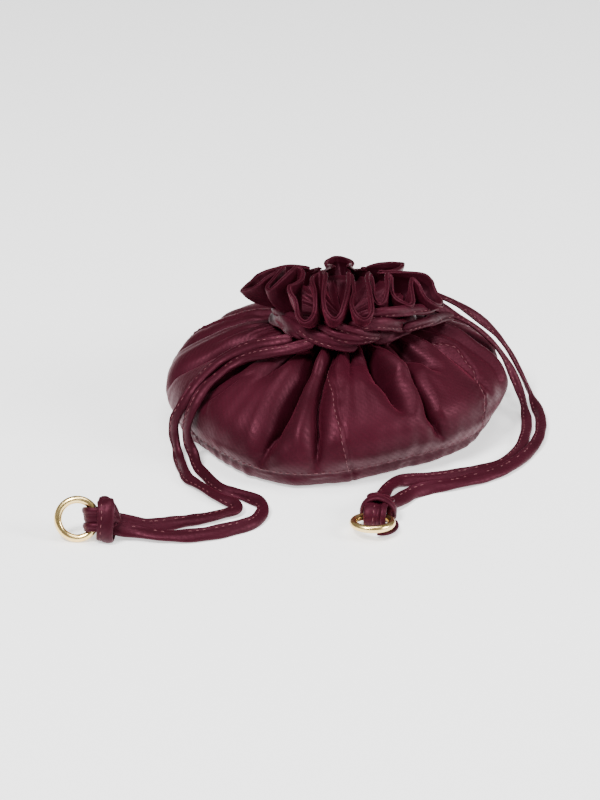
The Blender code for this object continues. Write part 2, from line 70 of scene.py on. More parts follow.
# Drawcords
CORD_WIDTH = 4.5 * MM
CORD_THICKNESS = 1.9 * MM
NECK_CORD_THICKNESS = 2.3 * MM
STITCH_LINE = 0.52  # share of the half width from the cord's middle
STITCH_START = 2.5 * MM
STITCH_END = 3 * MM
STITCH_PITCH = 2.6 * MM
STITCH_LENGTHS = (1.0, 1.6)  # mm, shortest and longest
STITCHES_HIDDEN = 0.3  # share that lies too deep in the groove to show
STITCH_LIFT = (-0.05, 0.10, 0.10, -0.05)  # mm off the cord, along one stitch
STITCH_GROOVE = 0.22  # share of the cord's thickness
STITCH_RADIUS = 0.14 * MM

# Routes of the four free ends from the neck to the knot, in mm; a point with no height is on the table
ON_TABLE = 2.1  # height of a cord's middle there
LEFT_OUTER_ROUTE = (
    (-17, -27.5, 44.8), (-25, -26.8, 43.2), (-32.5, -24.5, 40.8), (-39, -23.3, 37.6), (-45, -23.6, 34),
    (-50, -27, 31), (-53.5, -31.2, 28.5), (-56.5, -34.3, 25), (-59.5, -36, 20.5), (-62.3, -36.5, 15),
    (-62.8, -36.8, 9.5), (-61.8, -39.4, 5), (-60.7, -44.2, 2.2), (-58.8, -53), (-56.6, -60.9),
    (-53.3, -65.4), (-50.2, -69.4), (-46.6, -74.2), (-42.6, -78.7), (-38.1, -82.7), (-38, -87.1),
    (-43.1, -90.4), (-48.1, -93.1), (-54.3, -95.4), (-60.8, -97.5), (-65.1, -99.2, 2.3),
    (-69.7, -100.8, 2.9), (-74.7, -101.9, 4.5), (-80.3, -103.1, 6.6),
)
LEFT_INNER_ROUTE = (
    (-8.5, -30.4, 44.6), (-19, -31.5, 42.2), (-28, -29.8, 39.8), (-35.5, -26.8, 36.4), (-41.5, -27.3, 33),
    (-46, -30.5, 30.6), (-50, -35, 28.6), (-53.4, -38.8, 24.8), (-56, -40.8, 19.6), (-57.6, -41.2, 14),
    (-57.2, -41.6, 8.5), (-55, -44.6, 4.2), (-53.2, -51.1, 2.2), (-49.4, -59.6), (-46.5, -65.7),
    (-43, -70.5), (-38.8, -73.3), (-35.1, -75.5), (-31.5, -78.3), (-29.1, -80.8), (-27.8, -84.9),
    (-28.2, -90.4), (-30.5, -96), (-34.1, -99.3), (-38.4, -101.6), (-43, -103.9), (-48.4, -106),
    (-55.6, -107.3), (-62.9, -107.1), (-68.3, -106.5, 2.6), (-73.8, -105.7, 3.2), (-80.4, -106.3, 4.6),
)
RIGHT_OUTER_ROUTE = (
    (29.2, 13.1, 48), (38, 16.5, 45.5), (47, 18.5, 41), (56, 20.5, 34.5), (64, 22, 27), (70.5, 21.5, 18.5),
    (75.5, 18.5, 10), (79, 12.5, 4), (80.8, 3), (81.6, -9), (80.2, -22), (76.4, -34.2), (71, -44.4),
    (64.6, -52.4), (58.1, -58), (50.3, -62.3), (42.5, -65.9), (34.9, -68.6), (29.1, -72.3),
    (24.7, -77.4, 2.3), (22, -81.2, 2.7), (19.6, -84, 3.4),
)
RIGHT_INNER_ROUTE = (
    (32.1, 4, 47), (40.5, 6.5, 44), (49, 8, 38.8), (57, 9.5, 32.8), (64, 10.5, 25.5), (69.5, 9.5, 17.5),
    (73.5, 6, 9.5), (75.6, -1, 4), (76, -9), (74.7, -21), (71.7, -33.5), (65.1, -46.2), (58.6, -51.8),
    (50.7, -56.3), (42.9, -59.4), (35.2, -61.3), (28.7, -62.4, 2.2), (23, -64.8, 2.5), (19, -71.1, 3.2),
    (16.5, -79.9, 4.1), (15.2, -83, 4.9),
)

# Rings: centre, tilt about X in degrees, and where the knot holds it round the ring
RING_RADIUS = 7.0  # of the wire's middle
RING_WIRE = 1.4
LEFT_RING = ((-94.6, -105.0, 7.75), 65, 0)
RIGHT_RING = ((12.37, -101.03, 4.15), -7, 80)

# Numbers of points
WALL_COLUMNS = 640
WALL_ROWS = 106
NECK_ROWS = 9
BASE_ROWS = 41
COLLAR_STEP = 0.55  # mm along the hem
COLLAR_ROWS = 24
RING_POINTS = (96, 32)  # round the ring and round its wire


# Shapes


def mesh_object(name, verts, faces, mats, mat_of=None, uvs=None):
    """A mesh object from points in metres and faces as lists of point numbers."""
    mesh = bpy.data.meshes.new(name)
    mesh.from_pydata([tuple(v) for v in verts], [], [tuple(f) for f in faces])
    for mat in mats:
        mesh.materials.append(mat)
    if mat_of is not None:
        mesh.polygons.foreach_set("material_index", np.asarray(mat_of, np.int32))
    mesh.polygons.foreach_set("use_smooth", np.ones(len(mesh.polygons), bool))
    if uvs is not None:
        layer = mesh.uv_layers.new(name="cloth")
        layer.data.foreach_set("uv", np.asarray(uvs, np.float32).ravel())
    mesh.update()
    obj = bpy.data.objects.new(name, mesh)
    bpy.context.scene.collection.objects.link(obj)
    return obj


def joined_rows(count, columns, uv, wrap=False):
    """Faces between rows of points that each close on themselves, and the uvs of their corners.

    uv gives a corner's place on the cloth from its row and column.
    """
    faces, uvs = [], []
    for i in range(count if wrap else count - 1):
        n = (i + 1) % count * columns
        for j in range(columns):
            k = (j + 1) % columns
            faces.append((i * columns + j, i * columns + k, n + k, n + j))
            uvs += [uv(i, j), uv(i, j + 1), uv(i + 1, j + 1), uv(i + 1, j)]
    return faces, uvs


def cap(verts, faces, row, columns, tip, first):
    """Close the first row or the last one with a fan round its tip."""
    verts.append(tip)
    for j in range(columns):
        a, b = row * columns + j, row * columns + (j + 1) % columns
        faces.append((len(verts) - 1, b, a) if first else (len(verts) - 1, a, b))


def catmull(points, places):
    """The smooth curve through the points, at places counted in points."""
    points = np.asarray(points, float)
    last = len(points) - 1
    places = np.clip(places, 0, last)
    i = np.minimum(places.astype(int), last - 1)
    u = (places - i)[..., None]
    p1, p2 = points[i], points[i + 1]
    p0 = np.where((i > 0)[..., None], points[np.maximum(i - 1, 0)], 2 * p1 - p2)
    p3 = np.where((i + 2 <= last)[..., None], points[np.minimum(i + 2, last)], 2 * p2 - p1)
    return 0.5 * (
        2 * p1 + (p2 - p0) * u + (2 * p0 - 5 * p1 + 4 * p2 - p3) * u**2 + (3 * (p1 - p2) + p3 - p0) * u**3
    )


def evenly(points, step):
    """Places along the points, in points, that are one step apart on the curve."""
    fine = np.linspace(0, len(points) - 1, 60 * len(points))
    line = catmull(points, fine)
    run = running_length(line)
    count = max(4, round(run[-1] / step))
    return np.interp(np.linspace(0, run[-1], count + 1), run, fine), run[-1]


def running_length(points):
    """The length along a line of points up to each of them."""
    return np.concatenate([[0], np.cumsum(np.linalg.norm(np.diff(points, axis=0), axis=1))])


def between_rows(places, rows_at, rows):
    """Rows of three values at places between the given ones."""
    return np.stack([np.interp(places, rows_at, rows[:, k]) for k in range(3)], 1)


def unit(v):
    return v / np.maximum(np.linalg.norm(v, axis=-1, keepdims=True), 1e-12)


def ease(x):
    x = np.clip(x, 0, 1)
    return x * x * (3 - 2 * x)


def bell(x, width):
    return np.exp(-((x / width) ** 2))


def turn_between(angle, centre):
    return (angle - centre + 180) % 360 - 180


def cord_section(width, thickness, sides=22):
    """A flat cord's section: cloth folded over, sewn near one edge, full and soft at the other."""
    t = np.linspace(0, 2 * np.pi, sides, endpoint=False)
    across = np.sign(np.cos(t)) * np.abs(np.cos(t)) ** 0.8
    height = np.sign(np.sin(t)) * np.abs(np.sin(t)) ** 0.75
    sewn = 1 - 0.5 * bell(across - STITCH_LINE, 0.14)
    full = 1.05 - 0.32 * ease((across + 0.3) / 1.3) + 0.10 * bell(across + 0.45, 0.3)
    return np.stack([across * width / 2, height * sewn * full * thickness / 2], 1)


def wander(run, rng, short, long):
    """A slow random wave along a cord, from waves between two lengths in metres."""
    total = 0
    for _ in range(4):
        total = total + np.sin(run * 2 * np.pi / rng.uniform(short, long) + rng.uniform(0, 6.28))
    return total


def ribbon(name, points, ups, width=CORD_WIDTH, thickness=CORD_THICKNESS, step=0.8 * MM,
           stitches=True, pinch=None, ends=(1, 1), twist=0.0, seed=1):
    """A flat stitched cord along a smooth curve: the object, its length and its middle line.

    ups are the directions its flat side faces, pinch scales its width along the way, ends say
    which of its ends are rounded off, and stitches lie in its groove as short threads.
    """
    points = np.asarray(points, float)
    places, length = evenly(points, step)
    line = catmull(points, places)
    along = unit(np.gradient(line, axis=0))
    up = catmull(np.asarray(ups, float), places)
    up = unit(up - (up * along).sum(1, keepdims=True) * along)
    run = np.linspace(0, length, len(line))
    rng = np.random.default_rng(seed)
    lean = (wander(run, rng, 0.022, 0.07) * twist * 0.5)[:, None]
    side = np.cross(along, up)
    up, side = up * np.cos(lean) + side * np.sin(lean), side * np.cos(lean) - up * np.sin(lean)
    section = cord_section(width, thickness)
    count, sides = len(line), len(section)
    squeeze = 1 + 0.02 * wander(run, rng, 0.007, 0.02) * (twist > 0)
    scale = np.ones(count)
    if pinch is not None:
        scale = np.interp(places, np.linspace(0, len(points) - 1, len(pinch)), pinch)
    for end, distance in ((ends[0], run), (ends[1], length - run)):
        if end:
            scale = scale * np.sqrt(np.clip(distance / (0.5 * width) + 0.15, 0.15, 1))
    wide = section[None, :, :1] * (scale * squeeze)[:, None, None]
    high = section[None, :, 1:] * ((0.6 + 0.4 * scale) / squeeze)[:, None, None]
    verts = list((line[:, None] + side[:, None] * wide + up[:, None] * high).reshape(-1, 3))
    around = running_length(np.concatenate([section, section[:1]]))
    faces, uvs = joined_rows(count, sides, lambda i, j: (run[i], around[j]))
    for row, first in ((0, True), (count - 1, False)):
        cap(verts, faces, row, sides, line[row], first)
        uvs += [(run[row], 0), (run[row], 0.001), (run[row], 0.002)] * sides
    mat_of = [0] * len(faces)
    rows_at = np.arange(count)
    starts = np.arange(STITCH_START, length - STITCH_END, STITCH_PITCH) if stitches else []
    for at in starts:
        if rng.random() < STITCHES_HIDDEN:
            continue
        at += rng.normal(0, 0.15) * MM
        a, b = np.interp([at, at + rng.uniform(*STITCH_LENGTHS) * MM], run, rows_at)
        place = np.linspace(a, b, 4)
        p, n, s = (between_rows(place, rows_at, rows) for rows in (line, up, side))
        p = p + s * (STITCH_LINE * width / 2 * float(np.interp(a, rows_at, scale)))
        for face in (1, -1):
            lift = face * (np.array(STITCH_LIFT) * MM + STITCH_GROOVE * thickness)
            thread(verts, faces, uvs, mat_of, p + n * lift[:, None], n, s, STITCH_RADIUS)
    return mesh_object(name, verts, faces, (CORD_SATIN, CORD_THREAD), mat_of, uvs), length, line


def thread(verts, faces, uvs, mat_of, line, up, side, radius, slot=1):
    """One stitch, added to a mesh in the making: a short closed thread along the line."""
    start = len(verts)
    sides = 6
    turn = np.linspace(0, 2 * np.pi, sides, endpoint=False)
    for i, p in enumerate(line):
        r = radius * (0.55 if i in (0, len(line) - 1) else 1)
        verts += [p + side[i] * math.cos(t) * r + up[i] * math.sin(t) * r for t in turn]
    for a in range(start, len(verts) - sides, sides):
        for j in range(sides):
            k = (j + 1) % sides
            faces.append((a + k, a + j, a + sides + j, a + sides + k))
            uvs += [(0, 0), (0, 0.001), (0.001, 0.001), (0.001, 0)]
    last = len(verts) - sides
    faces.append(tuple(range(start, start + sides)))
    faces.append(tuple(reversed(range(last, last + sides))))
    uvs += [(0, 0)] * (2 * sides)
    mat_of += [slot] * (len(faces) - len(mat_of))


# Materials

SHADER = "Principled BSDF"


def shader_material(name, colour, roughness, metallic=0.0, **sockets):
    mat = bpy.data.materials.new(name)
    mat.use_nodes = True
    shader = mat.node_tree.nodes[SHADER]
    shader.inputs["Base Color"].default_value = (*colour, 1)
    shader.inputs["Roughness"].default_value = roughness
    shader.inputs["Metallic"].default_value = metallic
    for socket, value in sockets.items():
        shader.inputs[socket.replace("_", " ")].default_value = value
    return mat


def node(tree, kind, **values):
    made = tree.nodes.new(kind)
    for key, value in values.items():
        socket = key.replace("_", " ")
        if socket in made.inputs:
            made.inputs[socket].default_value = value
        else:
            setattr(made, key, value)
    return made


def noise(tree, source, scale, detail):
    made = node(tree, "ShaderNodeTexNoise", Scale=scale, Detail=detail)
    tree.links.new(source, made.inputs["Vector"])
    return made.outputs["Fac"]


def stretched(tree, source, across, along):
    made = node(tree, "ShaderNodeMapping", Scale=(across, along, 1))
    tree.links.new(source, made.inputs["Vector"])
    return made.outputs["Vector"]


def roughen(tree, value, **limits):
    """Let a value set the roughness within limits."""
    made = node(tree, "ShaderNodeMapRange", **limits)
    tree.links.new(value, made.inputs["Value"])
    tree.links.new(made.outputs["Result"], tree.nodes[SHADER].inputs["Roughness"])


def raise_surface(tree, height, strength, distance):
    made = node(tree, "ShaderNodeBump", Strength=strength, Distance=distance)
    tree.links.new(height, made.inputs["Height"])
    tree.links.new(made.outputs["Normal"], tree.nodes[SHADER].inputs["Normal"])


def satin(name, dark, light, weave, gloss):
    """Satin with a fine diagonal weave: colour drifts a little, and thread lines catch the light."""
    mat = shader_material(
        name, light, 0.5, Specular_IOR_Level=gloss, Specular_Tint=(0.95, 0.28, 0.42, 1), Sheen_Weight=0.12,
        Sheen_Roughness=0.4, Sheen_Tint=(0.9, 0.12, 0.24, 1),
    )
    tree = mat.node_tree
    shader = tree.nodes[SHADER]
    link = tree.links.new
    where = node(tree, "ShaderNodeTexCoord").outputs["Object"]
    cloth = node(tree, "ShaderNodeUVMap", uv_map="cloth").outputs["UV"]
    threads = node(tree, "ShaderNodeMath", operation="ADD")
    for i, scales in enumerate(((1700, 420), (420, 1700))):
        link(noise(tree, stretched(tree, cloth, *scales), 1.0, 1.0), threads.inputs[i])
    twill = node(tree, "ShaderNodeTexWave", Scale=1.0, Distortion=1.2, Detail=1.0)
    twill.bands_direction = "DIAGONAL"
    link(stretched(tree, cloth, 260, 260), twill.inputs["Vector"])
    grain = node(tree, "ShaderNodeMath", operation="MULTIPLY_ADD")
    link(twill.outputs["Fac"], grain.inputs[0])
    grain.inputs[1].default_value = 0.35
    link(threads.outputs["Value"], grain.inputs[2])
    mix = node(tree, "ShaderNodeMix", data_type="RGBA")
    mix.inputs["A"].default_value = (*dark, 1)
    mix.inputs["B"].default_value = (*light, 1)
    blend = node(tree, "ShaderNodeMapRange", From_Min=0.35, From_Max=0.7)
    link(noise(tree, where, 38.0, 3.0), blend.inputs["Value"])
    link(blend.outputs["Result"], mix.inputs["Factor"])
    shade = node(tree, "ShaderNodeMix", data_type="RGBA", blend_type="MULTIPLY")
    shade.inputs["Factor"].default_value = 0.5 * weave
    link(mix.outputs["Result"], shade.inputs["A"])
    tone = node(tree, "ShaderNodeValToRGB")
    ramp = ((0.55, (0.55, 0.5, 0.52, 1)), (0.95, (1, 1, 1, 1)))
    for element, (position, colour) in zip(tone.color_ramp.elements, ramp):
        element.position = position
        element.color = colour
    halve = node(tree, "ShaderNodeMath", operation="MULTIPLY")
    halve.inputs[1].default_value = 0.6
    link(grain.outputs["Value"], halve.inputs[0])
    link(halve.outputs["Value"], tone.inputs["Fac"])
    link(tone.outputs["Color"], shade.inputs["B"])
    link(shade.outputs["Result"], shader.inputs["Base Color"])
    fibre = grain.outputs["Value"]
    roughen(tree, fibre, From_Min=0.6, From_Max=1.4, To_Min=0.62, To_Max=0.44)
    raise_surface(tree, fibre, 0.35 * weave, 0.00012)
    return mat


def brass(name):
    """Pale polished brass with faint drawn lines and small dulled patches."""
    mat = shader_material(name, (0.86, 0.66, 0.34), 0.2, 1.0)
    tree = mat.node_tree
    shader = tree.nodes[SHADER]
    where = node(tree, "ShaderNodeTexCoord").outputs["Object"]
    patches = noise(tree, where, 260.0, 4.0)
    roughen(tree, patches, To_Min=0.16, To_Max=0.34)
    tint = node(tree, "ShaderNodeMix", data_type="RGBA")
    tint.inputs["A"].default_value = (0.94, 0.63, 0.22, 1)
    tint.inputs["B"].default_value = (1.0, 0.78, 0.36, 1)
    tree.links.new(patches, tint.inputs["Factor"])
    tree.links.new(tint.outputs["Result"], shader.inputs["Base Color"])
    raise_surface(tree, noise(tree, where, 1800.0, 2.0), 0.08, 0.0001)
    return mat


SATIN = satin("burgundy_satin", (0.019, 0.0015, 0.0041), (0.034, 0.0032, 0.0083), 1.0, 0.27)
# painted shade: a darker, duller copy of the satin for the collar's inner face, where shade falls
SATIN_PAINTED_SHADE = satin("burgundy_satin_painted_shade", (0.010, 0.0006, 0.0021), (0.018, 0.0012, 0.0042), 1.0, 0.2)
CORD_SATIN = satin("burgundy_cord_satin", (0.017, 0.0013, 0.0037), (0.030, 0.0029, 0.0078), 0.7, 0.3)
THREAD = shader_material("sewing_thread", (0.10, 0.018, 0.028), 0.55)
CORD_THREAD = shader_material("cord_sewing_thread", (0.16, 0.045, 0.055), 0.5)
BRASS = brass("pale_brass")


# Camera and cords

forward = Vector((0, math.cos(ELEVATION), -math.sin(ELEVATION)))
camera_data = bpy.data.cameras.new("camera")
camera_data.sensor_width = SENSOR
camera_data.lens = SENSOR * DISTANCE / (PICTURE_WIDTH * 800 / 600)
camera_data.clip_start = 0.01
camera = bpy.data.objects.new("camera", camera_data)
camera.location = TARGET - forward * DISTANCE
camera.rotation_euler = forward.to_track_quat("-Z", "Y").to_euler()
bpy.context.scene.collection.objects.link(camera)
bpy.context.scene.camera = camera


def ups_of(route, floor_from):
    """A flat cord's facing: outward from the pouch on its wall, and upward on the table."""
    ups = []
    for i, (x, y, z) in enumerate(route):
        out = Vector((x, y, 0)).normalized()
        facing = out * 0.75 + Vector((0, -0.3, 0.65))
        if i >= floor_from:
            facing = Vector((0, -0.7, 1))
        ups.append(facing.normalized())
    return ups


def tail(name, route, into, floor_from, full, cad_node, seed):
    """A free end, which runs on into its knot. full is its width along the route, as a share."""
    route = [point if len(point) == 3 else (*point, ON_TABLE) for point in (*route, into)]
    cord, length, line = ribbon(
        name, np.array(route) * MM, ups_of(route, floor_from), pinch=full, twist=0.3, seed=seed, ends=(1, 0),
    )
    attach(cord, "pouch")
    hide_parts(cad_node)
    return cord, length, line


TAILS = {}
for name, route, into, floor_from, full, cad_node in (
    (
        "left_tail_outer", LEFT_OUTER_ROUTE, (-83, -104, 7.2), 12,
        (1.1, 1.1, 1, 1, 1, 1, 1.05, 1.15, 1.25, 1.15), "left_cord_outer_end",
    ),
    (
        "left_tail_inner", LEFT_INNER_ROUTE, (-83, -106, 6.2), 12,
        (1, 1, 1, 1, 1, 1, 1.1, 1.3, 1.3, 1.15), "left_cord_inner_end",
    ),
    (
        "right_tail_outer", RIGHT_OUTER_ROUTE, (18.4, -87, 4), 8,
        (1.1, 1.1, 1, 1, 1, 1.1, 1.3, 1.3, 1.2, 1.1), "right_cord_outer_end",
    ),
    (
        "right_tail_inner", RIGHT_INNER_ROUTE, (14.8, -86.5, 5), 8,
        (1.2, 1.1, 1, 1, 1, 1, 1.15, 1.2, 1.25, 1.2), "right_cord_inner_end",
    ),
):
    TAILS[name] = tail(name, route, into, floor_from, full, cad_node, 40 + len(TAILS))


# Wall

# The wall's profile at even steps, and the run of cloth up to each of them
SHARES = np.linspace(0, 1, 2001)
PROFILE_LINE = catmull(PROFILE, SHARES * (len(PROFILE) - 1))
PROFILE_RUN = running_length(PROFILE_LINE)
WALL_RUN = PROFILE_RUN[-1]


def swelling(angle):
    total = np.zeros_like(angle)
    for centre, bulge, half_width in SWELLINGS:
        total += bulge * bell(turn_between(angle, centre), half_width)
    return total


# Valleys and ridges of the wall: for each, rows of share up the wall, angle, depth in mm
# (less than 0 is a ridge), and half widths in mm on the side of smaller and of larger angles,
# or one half width where both are the same
FOLDS = {
    "deep_valley_left": (
        (0.05, -114, 0, 5), (0.15, -113, 5, 7), (0.34, -111.2, 11, 10, 8), (0.52, -110.4, 14, 12, 8),
        (0.68, -108.8, 13, 10, 6), (0.84, -110.5, 9, 7, 4), (0.97, -112.5, 6, 4, 3.5),
    ),
    "pleat_ridge": (
        (0.2, -102, 0, 4), (0.4, -103.4, -1.6, 4), (0.6, -104.3, -2.6, 3.2), (0.8, -103.8, -2.8, 2.5),
        (0.95, -103.5, -1.8, 2),
    ),
    "valley_right_of_pleat": (
        (0.04, -96.5, 0, 5, 4), (0.2, -96.8, 6, 6), (0.38, -97.6, 9, 6.5, 7),
        (0.54, -100.2, 8.5, 4.5, 6.5), (0.7, -100.3, 6.5, 3, 5), (0.86, -99.5, 5, 2.5, 3.5),
        (0.97, -99, 3, 2, 2.5),
    ),
    "pit_under_the_neck": (
        (0.42, -66.5, 0, 6), (0.54, -67.2, 8, 9, 8), (0.66, -69, 14, 11, 8), (0.8, -70, 15, 10, 7),
        (0.93, -70, 10, 6, 5), (1, -70, 6, 4),
    ),
    "ridge_right_of_pit": (
        (0.36, -60, 0, 5), (0.52, -58.4, -2.8, 5), (0.66, -59, -4, 4.5), (0.82, -62, -3.8, 3.5),
        (0.96, -65, -2.4, 3),
    ),
    "crease_right": (
        (0.12, -50.5, 0, 4), (0.26, -52.6, 5, 8, 4), (0.42, -55, 8, 9, 4.5), (0.56, -54.4, 7, 8, 5),
        (0.72, -52, 6, 5, 7), (0.86, -49, 8, 5, 8), (0.97, -48, 7, 4, 6),
    ),
    "shadow_under_the_cords": (
        (0.54, -38, 0, 8), (0.66, -39, 5, 9), (0.78, -40, 8, 8), (0.9, -41, 8, 6), (1, -42, 5, 5),
    ),
    "right_shoulder": (
        (0.3, -24, 0, 6), (0.48, -24, 2.2, 8, 7), (0.64, -22, 3.6, 8, 7), (0.8, -20, 5, 6),
        (0.95, -20, 4, 4),
    ),
    "right_roll": (
        (0.18, -12, 0, 5), (0.34, -12, -2.2, 5), (0.5, -7, -3.2, 5), (0.66, -3, -3.2, 4.5),
        (0.86, 1, -2.4, 3.5),
    ),
    "behind_right_roll": (
        (0.14, 4, 0, 7), (0.32, 7, 5, 10, 9), (0.5, 9, 8, 10, 9), (0.68, 10, 9.5, 9), (0.82, 10, 9, 7),
        (0.96, 10, 6, 5),
    ),
    "back_1": ((0.3, 30, 0, 7), (0.5, 29, 5, 9, 8), (0.7, 27, 8, 8, 7), (0.9, 28, 6, 5)),
    "back_2": (
        (0.1, 54, 0, 6), (0.34, 53, 6, 8), (0.6, 51, 10, 9, 8), (0.84, 50, 8, 6), (0.98, 50, 4, 4),
    ),
    "back_3": ((0.36, 80, 0, 7), (0.56, 79, 5, 9), (0.76, 77, 8, 7), (0.94, 76, 5, 4)),
    "back_4": ((0.1, 96, 0, 6), (0.32, 97, 7, 8), (0.58, 98, 11, 9), (0.82, 99, 9, 6), (0.98, 99, 4, 4)),
    "back_5": ((0.32, 126, 0, 8), (0.54, 124, 6, 9), (0.76, 121, 8, 7), (0.95, 120, 5, 4)),
    "back_6": (
        (0.12, 143, 0, 6), (0.36, 144, 6, 8), (0.6, 145, 9, 9, 8), (0.84, 146, 8, 6), (0.98, 146, 4, 4),
    ),
    "left_shoulder": (
        (0.34, 170, 0, 7), (0.5, 168, 4, 8, 9), (0.66, 166, 7, 8), (0.82, 164, 8, 6), (0.96, 164, 5, 4),
    ),
    "left_lobe_edge": (
        (0.16, -172, 0, 6), (0.34, -171, 2.5, 7), (0.52, -168, 5, 8), (0.68, -164, 7, 7),
        (0.84, -160, 7, 5, 6), (0.97, -158, 5, 4),
    ),
    "under_the_left_cords": (
        (0.3, -148, 0, 6), (0.46, -147, 2.5, 8), (0.62, -145, 4.2, 8), (0.78, -142, 5.5, 6),
        (0.94, -140, 5, 4),
    ),
    "left_front_tuck": ((0.5, -131, 0, 6), (0.64, -129, 2.2, 6), (0.8, -126, 4, 5), (0.95, -124, 4, 3.5)),
    "broad_lobe_tuck": (
        (0.6, -86, 0, 4), (0.74, -86, 3, 4.5, 4), (0.9, -85, 5, 3.5, 3), (1, -84, 4, 2.5),
    ),
    "left_corner_crease": (
        (0.3, -140, 0, 4), (0.4, -143, 1.4, 5, 4), (0.52, -139, 1.2, 5, 4), (0.6, -134, 0, 4),
    ),
}

# Stitches along the seams of the wall, in mm
SEAM_PITCH = 2.7
SEAM_STITCH = 1.8
SEAM_THREAD = 0.15
SEAM_LIFT = (-0.12, 0.10, 0.10, -0.12)
BASE_SEAM = 0.05  # share up the wall
SEAMS = (  # rows of share up the wall and angle
    ((0.0, -84.5), (0.15, -86), (0.38, -88.5), (0.51, -91.5), (0.76, -96), (1.0, -96)),
    ((0.0, -26), (0.22, -32), (0.42, -27.5), (0.50, -20), (0.62, -14), (1.0, -20)),
    ((0.0, 34), (0.5, 37), (1.0, 38)),
    ((0.0, 94), (0.5, 88), (1.0, 88)),
    ((0.0, 155), (0.5, 158), (1.0, 156)),
    ((0.0, -147), (0.5, -152), (1.0, -150)),
)


def across_rows(rows, shares):
    """Interpolate rows of (share, values...) smoothly at the shares."""
    rows = np.array(rows, float)
    at = np.interp(shares, rows[:, 0], np.arange(len(rows)))
    i = np.minimum(at.astype(int), len(rows) - 2)
    u = ease(at - i) * 0.5 + (at - i) * 0.5
    return [rows[i, k] + (rows[i + 1, k] - rows[i, k]) * u for k in range(1, rows.shape[1])]


def ripple(angle, run, seed, waves, low, high, climb):
    """A smooth random ripple round the pouch: sines with whole numbers of waves."""
    rng = np.random.default_rng(seed)
    total = np.zeros(np.broadcast(angle, run).shape)
    for _ in range(waves):
        k = rng.integers(low, high)
        wave = np.radians(angle) * k + run * rng.uniform(-climb, climb) + rng.uniform(0, 2 * np.pi)
        total += np.sin(wave) / math.sqrt(waves)
    return total


def wall_surface(angle, share):
    """Points of the finished wall, in mm."""
    radius = np.interp(share, SHARES, PROFILE_LINE[:, 0])
    height = np.interp(share, SHARES, PROFILE_LINE[:, 1])
    run = np.interp(share, SHARES, PROFILE_RUN)
    slope = np.gradient(PROFILE_LINE, PROFILE_RUN, axis=0)
    along = unit(np.stack([np.interp(share, SHARES, slope[:, k]) for k in range(2)], -1))
    out_r, out_z = along[..., 1], -along[..., 0]
    inward = np.zeros(angle.shape)
    aside = np.zeros(angle.shape)
    for rows in FOLDS.values():
        rows = [row if len(row) == 5 else (*row, row[-1]) for row in rows]
        centre, depth, left, right = across_rows(rows, share)
        shown = (share >= rows[0][0]) & ((share <= rows[-1][0]) | (rows[-1][0] > 0.93))
        x = np.radians(turn_between(angle, centre)) * radius
        t = np.where(x < 0, -x / left, x / right)
        near = shown & (t < 1)
        t = np.clip(t, 0, 1)
        valley = (1 - t) ** 2 * (1 + 0.55 * t)
        ridge = (1 - t**2) ** 2
        inward += np.where(near, np.where(depth > 0, depth * valley, depth * ridge), 0)
        # cloth beside a valley rolls over it and narrows it to a crease
        lean = 16 * (t * (1 - t)) ** 2
        deep = np.minimum(np.maximum(depth, 0), np.minimum(left, right) * 1.45)
        aside -= np.where(near, np.sign(x) * lean * 0.19 * deep, 0)
    # the cloth is gathered into the neck in fine pleats
    gather = ease((share - 0.62) / 0.38)
    warp = ripple(angle, run, 5, 6, 5, 17, 0.10)
    pleats = 0.5 - np.abs(np.sin(np.radians(angle) * 19 + 0.8 * warp))
    inward -= gather * pleats * 1.7
    small = 0.5 - np.abs(np.sin(np.radians(angle) * 41 + 1.9 * warp))
    inward -= gather**2 * small * 0.9
    # long soft wrinkles that fade towards the belly, and puckers along the base seam
    inward += ripple(angle, run, 11, 14, 18, 60, 0.16) * (0.10 + 0.28 * ease((share - 0.35) / 0.5))
    inward += ripple(angle, run, 12, 10, 6, 20, 0.10) * 0.35 * ease(share / 0.3)
    pucker = bell(run, 5)
    inward += ripple(angle, run, 13, 10, 30, 80, 0.2) * 0.13 * pucker
    # the base seam is a shallow stitched line low on the wall
    inward += 0.45 * bell(run - 1.2, 0.7)
    # panel seams sit in a shallow groove and pucker on both sides
    for rows in SEAMS:
        (centre,) = across_rows(rows, share)
        x = np.radians(turn_between(angle, centre)) * radius
        inward += 0.75 * bell(x, 0.7) - 0.32 * bell(x + 1.6, 1.3)
        tug = np.sin(run * 1.1 + centre) + np.sin(run * 0.63 + 2 * centre)
        inward += 0.09 * tug * bell(x, 3.5)
    spread = swelling(angle) * (1 - ease(share / 0.6))
    r = radius + spread - inward * out_r
    z = height - inward * out_z
    turn = np.radians(angle) + aside / np.maximum(radius, 1)
    return np.stack([r * np.cos(turn) + NECK_SHIFT * ease(share), r * np.sin(turn), z], -1)


def foot_roll(angles):
    """The roll of cloth from the table up to the wall's first row, in mm, lowest inside row first."""
    start = wall_surface(angles, np.zeros(len(angles)))
    out = unit(start * [1, 1, 0])
    reach = np.linalg.norm(start[:, :2], axis=1)
    pucker = ripple(angles, np.zeros(len(angles)), 23, 10, 40, 110, 0)
    slow = ripple(angles, np.zeros(len(angles)), 24, 8, 7, 30, 0)
    rows = []
    for inset, level, soft in (
        (14, 1.2, 0), (9.5, 0.35, 0), (6.2, 0.10, 0.2), (3.6, 0.45, 0.7), (1.9, 1.4, 1), (0.9, 2.7, 1),
        (0.35, 4.0, 0.8),
    ):
        row = out * (reach - inset + soft * (0.10 * pucker + 0.45 * slow))[:, None]
        row[:, 2] = level
        rows.append(row)
    rows.append(start)
    places = np.linspace(0, len(rows) - 1, 22)[:-1]
    return catmull(np.array(rows).reshape(len(rows), -1), places).reshape(-1, len(angles), 3)


